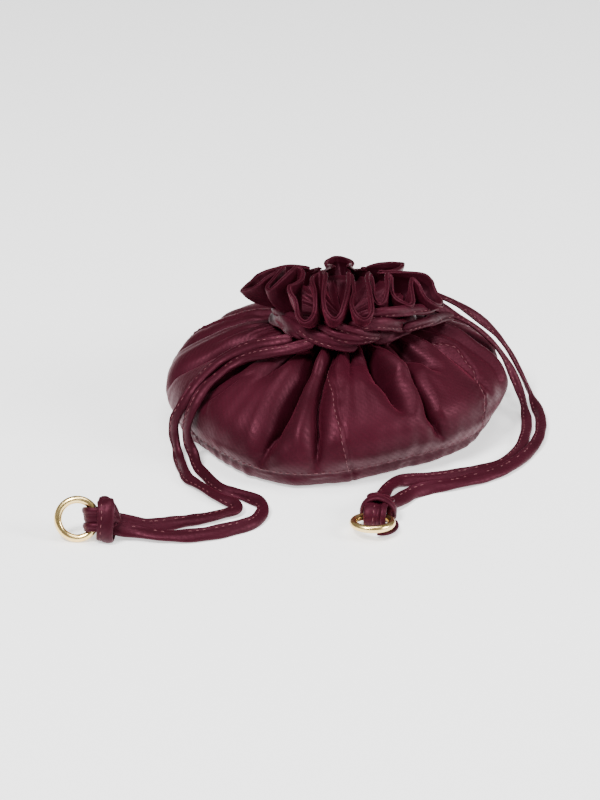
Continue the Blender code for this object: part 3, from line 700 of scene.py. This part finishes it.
# Shares of the neck's radius
MOUTH_RINGS = (0.92, 0.82, 0.72, 0.62, 0.52, 0.42, 0.33, 0.25, 0.18, 0.12, 0.07, 0.03)
MOUTH_DEPTH = 9.0
MOUTH_FLOOR = NECK_TOP - MOUTH_DEPTH - 0.3
MOUTH_RIPPLE = 1.3
MOUTH_PLEATS = 22


def make_wall():
    run = np.linspace(0, WALL_RUN, WALL_ROWS)
    shares = np.interp(run, PROFILE_RUN, SHARES)
    angles = np.linspace(-180, 180, WALL_COLUMNS, endpoint=False)
    points = wall_surface(*np.meshgrid(angles, shares))
    # the foot of the wall rolls under at the base seam, and its cloth runs up inside the cords
    foot = foot_roll(angles)
    last = points[-1]
    middle = np.array([NECK_SHIFT, 0, 0])
    out = unit((last - middle) * [1, 1, 0])
    reach = np.linalg.norm((last - middle)[:, :2], axis=-1, keepdims=True)
    upper = []
    for k, level in enumerate(np.linspace(NECK_FOOT + 1.2, NECK_TOP, NECK_ROWS)):
        ring = middle + out * (NECK_RADIUS + (reach - NECK_RADIUS) * (1 - 0.5 * ease(k / (NECK_ROWS - 1))))
        ring[:, 2] = level
        upper.append(ring)
    # inside the collar the drawn cloth sinks in pleats to a small dark pucker
    for share in MOUTH_RINGS:
        ring = middle + out * (NECK_RADIUS * share)
        pleat = np.sin(np.radians(angles) * MOUTH_PLEATS + 2.2 * np.sin(np.radians(angles) * 3) + 3 * share)
        ripples = MOUTH_RIPPLE * pleat * math.sin(math.pi * share)
        ring[:, 2] = NECK_TOP - MOUTH_DEPTH * (1 - share) ** 0.7 + ripples
        upper.append(ring)
    stack = np.concatenate([foot, points, upper]) * MM
    count = len(stack)
    verts = list(stack.reshape(-1, 3))
    runs = np.concatenate([
        np.linspace(-12, -0.6, len(foot)), run, WALL_RUN + np.linspace(1.2, 10, NECK_ROWS),
        [WALL_RUN + 10 + NECK_RADIUS * (1 - share) for share in MOUTH_RINGS],
    ]) * MM
    wide = 2 * np.pi * 62 * MM
    faces, uvs = joined_rows(count, WALL_COLUMNS, lambda i, j: (wide * j / WALL_COLUMNS, runs[i]))
    cap(verts, faces, 0, WALL_COLUMNS, np.array([0, 0, 1.6]) * MM, True)
    cap(verts, faces, count - 1, WALL_COLUMNS, np.array([NECK_SHIFT, 0, MOUTH_FLOOR]) * MM, False)
    uvs += [(0, 0), (0.001, 0), (0, 0.001)] * (2 * WALL_COLUMNS)
    wall = mesh_object("satin_wall", verts, faces, (SATIN,), None, uvs)
    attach(wall, "pouch")
    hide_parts("pouch_body")


make_wall()


def seam_stitches(name, lines):
    """Threads along lines of points and outward directions, both in mm."""
    verts, faces, uvs, mat_of = [], [], [], []
    for points, outs in lines:
        run = running_length(points)
        for at in np.arange(0.5, run[-1] - SEAM_STITCH, SEAM_PITCH):
            where = np.linspace(at, at + SEAM_STITCH, 4)
            p = between_rows(where, run, points)
            n = unit(between_rows(where, run, outs))
            s = np.cross(unit(np.gradient(p, axis=0)), n)
            lifted = (p + n * np.array(SEAM_LIFT)[:, None]) * MM
            thread(verts, faces, uvs, mat_of, lifted, n, s, SEAM_THREAD * MM, 0)
    made = mesh_object(name, verts, faces, (THREAD,), mat_of, uvs)
    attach(made, "pouch")


def surface_line(angles, shares):
    """Points and outward directions along a line on the wall, in mm."""
    points = wall_surface(angles, shares)
    a = wall_surface(angles + 0.15, shares) - wall_surface(angles - 0.15, shares)
    above, below = np.minimum(shares + 0.004, 1), np.maximum(shares - 0.004, 0)
    b = wall_surface(angles, above) - wall_surface(angles, below)
    return points, unit(np.cross(a, b))


panel_lines = []
for rows in SEAMS:
    shares = np.linspace(0.03, 0.97, 400)
    (centre,) = across_rows(rows, shares)
    radius = np.interp(shares, SHARES, PROFILE_LINE[:, 0])
    panel_lines.append(surface_line(centre - np.degrees(1.5 / radius), shares))
seam_stitches("panel_topstitching", panel_lines)
ring_angles = np.linspace(-180, 180, 1200)
seam_stitches("base_topstitching", [surface_line(ring_angles, np.full(len(ring_angles), BASE_SEAM))])


# Base


def make_base():
    """The round base: flat below, with a padded rim that rolls up to the seam."""
    columns = WALL_COLUMNS
    angles = np.linspace(-180, 180, columns, endpoint=False)
    swell = swelling(angles)
    pucker = ripple(angles, np.zeros(columns), 21, 12, 30, 90, 0)
    slow = ripple(angles, np.zeros(columns), 22, 8, 5, 24, 0)
    turn = np.radians(angles)
    rows = []
    for radius, level, share, soft in (
        (20, 0, 0.3, 0), (40, 0, 0.6, 0), (50, 0, 0.8, 0), (54.5, 0, 0.95, 0), (56.3, 0.25, 1, 0.05),
        (57.2, 1, 1, 0.1), (57.2, 2.2, 1, 0.1), (56.4, 3, 1, 0.05), (50, 3.2, 1, 0), (36, 3.2, 1, 0),
    ):
        r = radius + swell * share + soft * (pucker * 0.8 + slow)
        rows.append(np.stack([r * np.cos(turn), r * np.sin(turn), np.full(columns, level)], -1))
    places = np.linspace(0, len(rows) - 1, BASE_ROWS)
    stack = catmull(np.array(rows).reshape(len(rows), -1), places).reshape(BASE_ROWS, columns, 3)
    stack[..., 2] = np.clip(stack[..., 2], 0, 3.2)
    stack *= MM

    def uv(i, j):
        x, y, z = stack[i, j % columns]
        return x, y + z

    verts = list(stack.reshape(-1, 3))
    faces, uvs = joined_rows(BASE_ROWS, columns, uv)
    for row, first in ((0, True), (BASE_ROWS - 1, False)):
        cap(verts, faces, row, columns, np.array([0, 0, stack[row, 0, 2]]), first)
        uvs += [tuple(verts[v][:2]) for face in faces[-columns:] for v in face]
    base = mesh_object("satin_base", verts, faces, (SATIN,), None, uvs)
    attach(base, "pouch")
    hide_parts("base_panel")


make_base()


# Collar

# The hem's run over the front, from the left flap round to the right one, about the neck's middle
FRONT_HEM = (
    (-20.9, 6, 61.5), (-27.2, 4, 61), (-32.6, 0.5, 60.3), (-36.4, -4.6, 58.8), (-39.6, -9.2, 57.3),
    (-36.2, -12.4, 59.2), (-33, -13.4, 61.4), (-29.7, -12, 63.7), (-25.5, -8, 64.8), (-23.2, -6, 65.5),
    (-25.1, -10, 65), (-27.8, -14.5, 63.5), (-29.5, -17.5, 62.3), (-28.9, -19.5, 61.6), (-26.6, -20, 63.5),
    (-23.5, -18, 65.8), (-20.5, -14.5, 67.5), (-18.2, -11, 67.7), (-16, -13, 66.9), (-16.2, -17, 65.4),
    (-18.7, -21, 64.9), (-21, -24, 65.1), (-20.8, -26.5, 63.7), (-19.1, -29, 62.1), (-18.3, -31, 60),
    (-18.1, -32.5, 57.4), (-16.8, -33.5, 55.3), (-14.7, -34, 54.7), (-12.8, -34, 56.2), (-11.5, -33, 58.8),
    (-11.3, -30, 62.1), (-11.5, -25.5, 64.3), (-12.4, -20, 65.4), (-12, -15.5, 65.6), (-10.1, -13, 65.8),
    (-8.1, -13.5, 66.8), (-7.1, -17, 67), (-7.5, -22, 65.8), (-8.1, -26.5, 63.9), (-8.1, -31, 61.7),
    (-7.2, -34, 59.2), (-5.3, -36, 57.4), (-3.4, -36, 56.8), (-1.7, -35, 58.2), (-0.5, -32, 60.5),
    (0.5, -28, 62.5), (1.4, -23, 64.1), (1.6, -17.5, 65.4), (1.7, -13, 66.2), (2.8, -14, 65.6),
    (3.3, -19, 64.1), (3.6, -23, 62.5), (2.8, -27, 61.2), (2.6, -30, 60.2), (3.5, -33, 58.6),
    (5.2, -35, 57.2), (7.2, -35.5, 56.3), (9.1, -35, 57), (10.3, -33, 58.8), (10.2, -29.5, 61),
    (9.7, -25.5, 63.1), (9.1, -20.5, 64.7), (8.8, -15.5, 65.6), (9.5, -12, 65.9), (10.5, -14, 64.6),
    (11, -18, 62.5), (11, -21.5, 60.4), (12.1, -24, 58.7), (13.8, -25, 58.1), (15.3, -24, 59.4),
    (16.1, -21, 61.4), (16.5, -17, 63.3), (16.3, -13, 64.4), (16.8, -10.5, 65), (18.1, -11.5, 64),
    (18.2, -14, 62.1), (18.3, -16.5, 60.2), (19.3, -18.5, 58.5), (21, -20, 57.6), (23.1, -21, 56.9),
    (25, -21, 56.2), (26.4, -19.5, 56.6), (26.4, -17, 58.1), (26, -14, 59.6), (25.9, -11, 61),
    (26.6, -8, 61.9), (27.9, -9, 61.1), (29.3, -10.5, 59.6), (30.2, -12, 57.7), (31.8, -13, 55.6),
    (33.9, -13, 53.8), (36.2, -11.5, 52.1), (38.1, -8, 50.6), (38.4, -3.5, 50.6), (36.9, 0, 51.9),
    (35.6, 2.5, 54), (34.5, 4, 56.4), (30, 5.5, 58.5),
)
# Loops at the back: angle, reach, height, half width
BACK_LOOPS = (
    (42, 32, 56.4, 5.8), (68, 29, 51.5, 3.8), (94, 30, 55.8, 6.4), (120, 29.5, 51.5, 3.8), (143, 31, 53, 5.2),
)
# The bends on both sides of them: angle, reach, height
BACK_BENDS = (
    (26, 16, 58.5), (55, 13.5, 58.5), (81, 13, 58.6), (107, 12.5, 58.6), (131, 13.5, 58.8), (153, 15, 60),
)
# How a loop runs out from its bend to its tip: share of the way, share of its half width
LOOP_STEPS = ((0.30, 0.80), (0.58, 0.78), (0.80, 0.52), (0.95, 0.20))
COLLAR_FOOT = (23.0, 47.8)
HEM_THICKNESS = 1.7
# The hem's two folds with the groove between them: share of the half thickness, height in mm
HEM_SECTION = (
    (0.98, 0.22), (0.85, 0.42), (0.6, 0.52), (0.36, 0.40), (0.16, 0.05), (0, -0.25),
    (-0.16, 0.05), (-0.36, 0.40), (-0.6, 0.52), (-0.85, 0.42), (-0.98, 0.22),
)


def hem_points():
    """The hem's control points round the collar, in mm about the neck's middle."""
    hem = [np.array(p, float) for p in FRONT_HEM]

    def polar(angle, reach, aside, level):
        turn = math.radians(angle)
        out = np.array([math.cos(turn), math.sin(turn)])
        return np.array([*(out * reach + np.array([-out[1], out[0]]) * aside), level])

    for i, (angle, reach, level, half) in enumerate(BACK_LOOPS):
        a0, r0, z0 = BACK_BENDS[i]
        _, r1, z1 = BACK_BENDS[i + 1]
        hem.append(polar(a0, r0, 0, z0))
        for sign, r, z in ((-1, r0, z0), (1, r1, z1)):
            for share, side in LOOP_STEPS[::-sign]:
                away = r + (reach - r) * share
                hem.append(polar(angle, away, sign * side * half, z + (level - z) * share**0.6))
            if sign < 0:
                hem.append(polar(angle, reach, 0, level))
    hem.append(polar(*BACK_BENDS[-1][:2], 0, BACK_BENDS[-1][2]))
    return np.array(hem)


def closed_curve(points, step):
    """A closed smooth curve through the points, at even steps."""
    padded = np.concatenate([points[-2:], points, points[:3]])
    fine = 2 + np.linspace(0, len(points), 40 * len(points) + 1)
    line = catmull(padded, fine)
    run = running_length(line)
    count = int(run[-1] / step)
    return between_rows(np.arange(count) * run[-1] / count, run, line), run[-1]


def rounded(values, reach):
    """Values round a closed line, averaged over neighbours by a Gaussian that wide in points."""
    width = int(3 * reach) + 1
    weight = np.exp(-0.5 * (np.arange(-width, width + 1) / reach) ** 2)
    weight /= weight.sum()
    padded = np.concatenate([values[-width:], values, values[:width]])
    return np.convolve(padded, weight, "valid")


def make_collar():
    step, rows = COLLAR_STEP, COLLAR_ROWS
    hem, around = closed_curve(hem_points(), step)
    columns = len(hem)
    turn = np.unwrap(np.arctan2(hem[:, 1], hem[:, 0]))
    trend = turn[0] + np.arange(columns) * 2 * np.pi / columns
    foot_turn = trend + rounded(turn - trend, 9 / step)
    foot_turn = np.maximum.accumulate(foot_turn)
    reach = np.linalg.norm(hem[:, :2], axis=1)
    outward = np.clip((reach - 13) / 21, 0, 1)
    foot_reach = COLLAR_FOOT[0] + 1.5 * (rounded(outward, 2 / step) - 0.5)
    foot = np.stack([foot_reach * np.cos(foot_turn), foot_reach * np.sin(foot_turn)], 1)
    foot = np.column_stack([foot, np.full(columns, COLLAR_FOOT[1])])
    sheet = []
    for up in np.linspace(0, 1, rows):
        gather = foot + (hem - foot) * up
        # the loops fill out a little below the hem, and the bends climb before they lean in
        fill = math.sin(math.pi * up)
        gather[:, :2] *= (1 + (0.07 * outward - 0.01) * fill)[:, None]
        gather[:, 2] += fill * (3.0 * (1 - outward) - 0.8 * outward)
        sheet.append(gather)
    sheet = np.array(sheet)
    # nearer the foot the cloth is drawn together smoothly
    for i in range(rows):
        near = 1 - i / (rows - 1)
        if near > 0.05:
            for k in range(3):
                sheet[i, :, k] = rounded(sheet[i, :, k], 0.05 + 2.2 * near / step * 0.55)
    turn = np.degrees(np.arctan2(sheet[..., 1], sheet[..., 0]))
    crumple = ripple(turn, sheet[..., 2], 31, 14, 14, 60, 0.5) * 0.25
    lift = np.sin(np.linspace(0, 1, rows) * np.pi) ** 0.5
    sheet[..., :2] *= (1 + crumple * lift[:, None] / 30)[..., None]
    sheet += [NECK_SHIFT, 0, 0]
    along = np.roll(sheet, -1, 1) - np.roll(sheet, 1, 1)
    up = np.gradient(sheet, axis=0)
    normal = unit(np.cross(along, up))
    half = HEM_THICKNESS / 2
    thick = np.interp(np.linspace(0, 1, rows), [0, 0.6, 0.8, 1], [0.5, 0.6, 0.85, 1.0]) * half
    # outer face up, over the hem with the groove between its two folds, and the inner face down
    loops = [sheet[i] + normal[i] * thick[i] for i in range(rows)]
    rim_up = unit(up[-1])
    for side, lift in HEM_SECTION:
        loops.append(sheet[-1] + normal[-1] * half * side + rim_up * lift)
    loops += [sheet[i] - normal[i] * thick[i] for i in range(rows - 1, -1, -1)]
    stack = np.array(loops) * MM
    count = len(stack)
    verts = list(stack.reshape(-1, 3))
    rim = len(HEM_SECTION)
    heights = np.concatenate([
        np.linspace(0, 16, rows), np.full(rim, 16.5), np.linspace(17, 33, rows), [34],
    ]) * MM
    faces, uvs = joined_rows(
        count, columns, lambda i, j: (around * j / columns * MM, heights[i]), wrap=True,
    )
    # painted shade: the collar's inner face, below the fifth of its rows next to the hem, takes the darker
    # satin copy
    painted_shade_faces = []
    for i in range(count):
        painted_shade_faces += [int(rows + rim + rows // 5 < i < count - 1)] * columns
    collar = mesh_object("satin_collar", verts, faces, (SATIN, SATIN_PAINTED_SHADE), painted_shade_faces, uvs)
    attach(collar, "pouch")
    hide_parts("ruffled_collar")


make_collar()


# Drawcords round the neck


def neck_cord(name, points, cad_node=None, width=5.2, seed=1, lean=0.35, stitches=True):
    """A drawcord drawn tight round the neck through points in mm, its flat side facing outward."""
    ups = []
    for x, y, z in points:
        out = Vector((x - NECK_SHIFT, y, 0)).normalized()
        ups.append((out + Vector((0, 0, lean))).normalized())
    cord, _, _ = ribbon(
        name, np.array(points) * MM, ups, width=width * MM, thickness=NECK_CORD_THICKNESS, twist=0.5,
        seed=seed, stitches=stitches,
    )
    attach(cord, "pouch")
    if cad_node:
        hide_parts(cad_node)


def round_the_neck(start, end, reach, level):
    """Points round the neck from one angle to another, for a stretch that only lies against it."""
    points = []
    for angle in np.linspace(start, end, max(3, int(abs(end - start) / 20))):
        turn = math.radians(angle)
        points.append((NECK_SHIFT + reach * math.cos(turn), reach * math.sin(turn), level))
    return points


neck_cord(
    "left_cord_round_neck",
    [(14, -24, 43), (21, -19, 43.4)] + round_the_neck(-25, 165, 27.2, 43.4)
    + [(-23.6, -0.4, 42.6), (-22.3, -9, 45), (-20.3, -16.1, 46.6), (-17.2, -22.4, 47.3), (-13.2, -26.2, 46.8),
       (-9.4, -26.8, 45.1), (-6.3, -25.9, 43.3)],
    "left_cord_neck_turn", width=6.2, seed=3, stitches=False,
)
neck_cord(
    "left_cord_over_strand",
    [(-14.4, -23.2, 48.4), (-12.1, -27.3, 48.1), (-8.7, -30.2, 47.1), (-4.1, -31.8, 45.9), (0.5, -32.1, 44.7),
     (4.4, -31, 43.6), (7.9, -28.1, 42.8)],
    width=5.4, seed=9, lean=0.9,
)
neck_cord(
    "right_cord_front_fold",
    [(-7.1, -26.6, 49.5), (-4.1, -30.2, 49.1), (-0.7, -32.8, 48.6), (3.5, -33.6, 47.7), (8.1, -32.4, 46.7),
     (12.4, -29.5, 46), (15.6, -25.6, 45.1)],
    width=4.2, seed=11, lean=0.2,
)
neck_cord(
    "right_cord_front_fold_upper",
    [(-4.1, -27.6, 52), (-0.3, -31.3, 52.1), (3.9, -33.3, 51.3), (8.9, -32.5, 49.3), (13.1, -29.5, 47.1),
     (16.4, -25.2, 45.2)],
    width=3.8, seed=13, lean=0.5,
)
neck_cord(
    "right_cord_round_neck",
    [(4, -29, 49.2), (7, -31, 51.4), (11.1, -31.6, 52.5), (16.1, -30.1, 52.2), (20.8, -26.6, 50.4),
     (24.5, -21.2, 47.6), (27.8, -13.5, 45.6)]
    + round_the_neck(-5, 195, 27.4, 47.4) + [(-20, -14, 48.6), (-15.5, -20, 49.4), (-10, -24.5, 49.6)],
    "right_cord_neck_turn", width=5.0, seed=5,
)
neck_cord(
    "right_cord_upper_strand",
    [(8.9, -27.9, 53.7), (13.1, -28.3, 55.2), (17.7, -27.5, 55.7), (22.7, -24.9, 55.1), (27.5, -20.9, 53.9),
     (32.4, -14.9, 51.9), (36.1, -9, 49.7), (38.3, -1.5, 47.4), (40.6, 6.2, 44.5)],
    width=4.4, seed=7, lean=0.6,
)
neck_cord(
    "right_cord_lower_strand",
    [(25.5, -21.5, 46.6), (29.5, -19.5, 46.8), (34, -14.5, 46), (38.5, -8, 44.4), (42.5, 0, 42.2),
     (46.5, 6.5, 39.8)],
    width=4.2, seed=15,
)


# Rings and knots


def ring_matrix(ring):
    (x, y, z), tilt, _ = ring
    return Matrix.Translation(Vector((x, y, z)) * MM) @ Matrix.Rotation(math.radians(tilt), 4, "X")


def make_ring(name, ring, body, cad_node):
    around, round_wire = RING_POINTS
    verts, faces = [], []
    matrix = np.array(ring_matrix(ring))
    for i in range(around):
        a = 2 * math.pi * i / around
        for j in range(round_wire):
            b = 2 * math.pi * j / round_wire
            r = RING_RADIUS + RING_WIRE * math.cos(b)
            local = np.array([r * math.cos(a), r * math.sin(a), RING_WIRE * math.sin(b)]) * MM
            verts.append((matrix @ np.append(local, 1))[:3])
            k, n = (j + 1) % round_wire, (i + 1) % around
            faces.append((i * round_wire + j, n * round_wire + j, n * round_wire + k, i * round_wire + k))
    made = mesh_object(name, verts, faces, (BRASS,))
    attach(made, body)
    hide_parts(cad_node)


make_ring("left_brass_ring", LEFT_RING, "left_ring", "left_ring")
make_ring("right_brass_ring", RIGHT_RING, "right_ring", "right_ring")


def hinge_axes(ring):
    """The hinge's place and its own axes: out of the ring, along the wire, and off the ring's face."""
    centre, _, at = ring
    turn = ring_matrix(ring).to_3x3() @ Matrix.Rotation(math.radians(at), 3, "Z")
    place = np.array(centre) + np.array(turn.col[0]) * RING_RADIUS
    return place, np.array(turn.col[0]), np.array(turn.col[1]), np.array(turn.col[2])


def knot_strand(name, ring, rows, width, thickness, stitches=False, pinch=None):
    """A strand of a knot: rows of (out, along, off) in mm on the hinge's axes, and its facing there."""
    place, out, along, off = hinge_axes(ring)
    points, ups = [], []
    for x, y, z, ux, uy, uz in rows:
        points.append((place + out * x + along * y + off * z) * MM)
        ups.append(out * ux + along * uy + off * uz)
    strand, _, _ = ribbon(
        name, points, ups, width=width * MM, thickness=thickness * MM, step=0.5 * MM, stitches=stitches,
        pinch=pinch,
    )
    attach(strand, "pouch")
    return strand


def loop_rows(y, reach, height, spread, back=4.0):
    """A strand that passes round the ring's wire from one side of the knot to the other."""
    rows = [(back, y * spread, -height * 0.9, 0, 0, -1)]
    for t in (-100, -70, -40, 0, 40, 70, 100):
        a = math.radians(t)
        x = -reach * math.cos(a) if abs(t) < 95 else 1.2
        rows.append((x, y, height * math.sin(a), -math.cos(a), 0, math.sin(a)))
    rows.append((back, y * spread, height * 0.9, 0, 0, 1))
    return rows


def flat(points):
    """Rows of a strand that faces off the ring's face all along."""
    return [(*point, 0, 0, 1) for point in points]


def facing(rows, middle=(3.6, 0.0)):
    """Rows of a strand wrapped round the line through middle, each facing away from that line."""
    x0, z0 = middle
    full = []
    for x, y, z in rows:
        full.append((x, y, z, 0.6 * (x - x0), 0.35 * y, z - z0))
    return full


LEFT_BAND = (
    (3.0, 6.7, -1), (3.4, 6.4, 2.1), (3.8, 4.6, 4.3), (3.8, 0.6, 5.3), (3.4, -3.7, 4.9), (3.1, -6.8, 2.8),
    (3.1, -7.7, 0), (3.4, -6.8, -3), (4, -2, -4.4), (4, 2.6, -4.2), (2.6, 6, -3),
)
LEFT_OVER = (
    (1.2, 6.9, 0.2), (2.6, 6.9, 1), (4.4, 5.6, 1.4), (6.2, 3.2, 1.2), (7.4, 0.6, 0.4), (8.2, -1.5, 0),
)
RIGHT_BAND = (
    (3.1, -6.9, -0.8), (3.1, -6.5, 2.4), (3.4, -4.2, 4.8), (3.8, -0.6, 5.9), (3.6, 2.9, 5.0), (3.2, 4.8, 3.0),
    (3.1, 5.4, 0.6), (3.2, 4.8, -1.3), (4, 2, -1.9), (4.4, -3, -1.9), (3.6, -6.0, -1.9),
)
RIGHT_OVER = ((3.2, -4.6, 4.2), (5.4, -4.0, 4.8), (8, -3.4, 4.2), (10.4, -3.0, 2.6), (12, -3, 1.2))
RIGHT_OVER_LEFT = ((3.0, 1.4, 4.9), (5.6, 1.4, 5.5), (8.4, 0.8, 4.9), (10.6, 0.2, 3.6), (12.4, 0, 2.4))
RIGHT_UNDER = (
    (2.4, -5.8, -2.0), (0.2, -7.0, -2.6), (-2.6, -7.4, -3.0), (-6, -6.6, -3.3), (-8.8, -4.6, -3.3),
    (-10.2, -2.2, -3.2),
)
LEFT_CORE = ((1.6, 0, 0), (3.2, 0, 0), (5.0, 0, 0), (7.4, 0, 0))
RIGHT_CORE = ((2.0, -0.8, 1.2), (4.4, -0.8, 1.5), (6.8, -0.6, 1.8), (9.6, -0.4, 1.8))
RIGHT_SIDE = (
    (2.4, -5.2, -1.8, -1, 0, 0), (2.3, -5.4, 0, -1, 0, 0), (2.4, -5.3, 1.8, -1, 0, 0),
    (3.2, -4.9, 3.3, -0.6, 0, 0.8), (5, -4.4, 4, 0, 0, 1),
)

# Each strand's name, rows, width and thickness in mm, then whether it is stitched and how it narrows
LEFT_KNOT = (
    ("left_knot_band", facing(LEFT_BAND + LEFT_BAND[:1]), 6.2, 1.8, True, (1, 1, 0.95, 1, 1, 0.9, 1)),
    ("left_knot_over_strand", facing(LEFT_OVER), 4.6, 2.2),
    ("left_knot_loop_1", loop_rows(-2.9, 4.2, 4.3, 0.8), 3.2, 1.5),
    ("left_knot_loop_2", loop_rows(0.2, 3.9, 3.6, 1.0), 5.4, 1.5),
    ("left_knot_loop_3", loop_rows(2.7, 4.5, 4.3, 0.8), 3.2, 1.5),
    ("left_knot_core", flat(LEFT_CORE), 11, 7.5),
)
RIGHT_KNOT = (
    (
        "right_knot_band", facing(RIGHT_BAND + RIGHT_BAND[:1], (3.6, 1.2)), 5.0, 1.7, False,
        (0.8, 1, 1.05, 1, 0.9, 0.8),
    ),
    ("right_knot_over_strand", facing(RIGHT_OVER, (6, 0)), 5.0, 2.0, True),
    ("right_knot_over_left", facing(RIGHT_OVER_LEFT, (6, 0)), 5.4, 2.0),
    ("right_knot_under_strand", flat(RIGHT_UNDER), 3.2, 1.2, False, (1, 1, 1, 0.9, 0.5)),
    ("right_knot_loop_1", loop_rows(-3.4, 4.6, 4.2, 0.9), 2.2, 1.3),
    ("right_knot_loop_2", loop_rows(-1.8, 3.9, 3.4, 1.0), 2.6, 1.3),
    ("right_knot_loop_3", loop_rows(1.5, 4.3, 3.9, 0.9), 4.8, 1.4, True),
    ("right_knot_side", RIGHT_SIDE, 3.4, 1.5),
    ("right_knot_core", flat(RIGHT_CORE), 10.6, 5.6),
)

knot_left = [knot_strand(name, LEFT_RING, *rest) for name, *rest in LEFT_KNOT]
knot_right = [knot_strand(name, RIGHT_RING, *rest) for name, *rest in RIGHT_KNOT]
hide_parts("left_knot")
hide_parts("right_knot")

for name, pieces in (
    ("left_tail_outer", ()), ("left_tail_inner", knot_left),
    ("right_tail_outer", ()), ("right_tail_inner", knot_right),
):
    list(pieces)


# Stage and light


def make_floor():
    size = 3.0
    white = shader_material(
        "floor_white", (0.93, 0.93, 0.93), 0.9, Emission_Color=(1, 1, 1, 1), Emission_Strength=FLOOR_GLOW,
    )
    corners = [(-size, -size, 0), (size, -size, 0), (size, size, 0), (-size, size, 0)]
    floor = mesh_object("floor", corners, [(0, 1, 2, 3)], (white,))


def area_light(name, location, size, power):
    data = bpy.data.lights.new(name, "AREA")
    data.shape = "DISK"
    data.size = size
    data.energy = power
    light = bpy.data.objects.new(name, data)
    light.location = location
    light.rotation_euler = (LIT_POINT - Vector(location)).to_track_quat("-Z", "Y").to_euler()
    bpy.context.scene.collection.objects.link(light)


make_floor()
area_light("key", (-0.5, -0.6, 1.15), 0.45, KEY_POWER)
area_light("right", (0.95, -0.35, 0.55), 0.5, RIGHT_POWER)
area_light("top", (0.15, -0.05, 1.35), 0.7, TOP_POWER)
world = bpy.data.worlds.new("studio")
bpy.context.scene.world = world
world.use_nodes = True
world.node_tree.nodes["Background"].inputs["Color"].default_value = (1, 1, 1, 1)
world.node_tree.nodes["Background"].inputs["Strength"].default_value = WORLD_STRENGTH
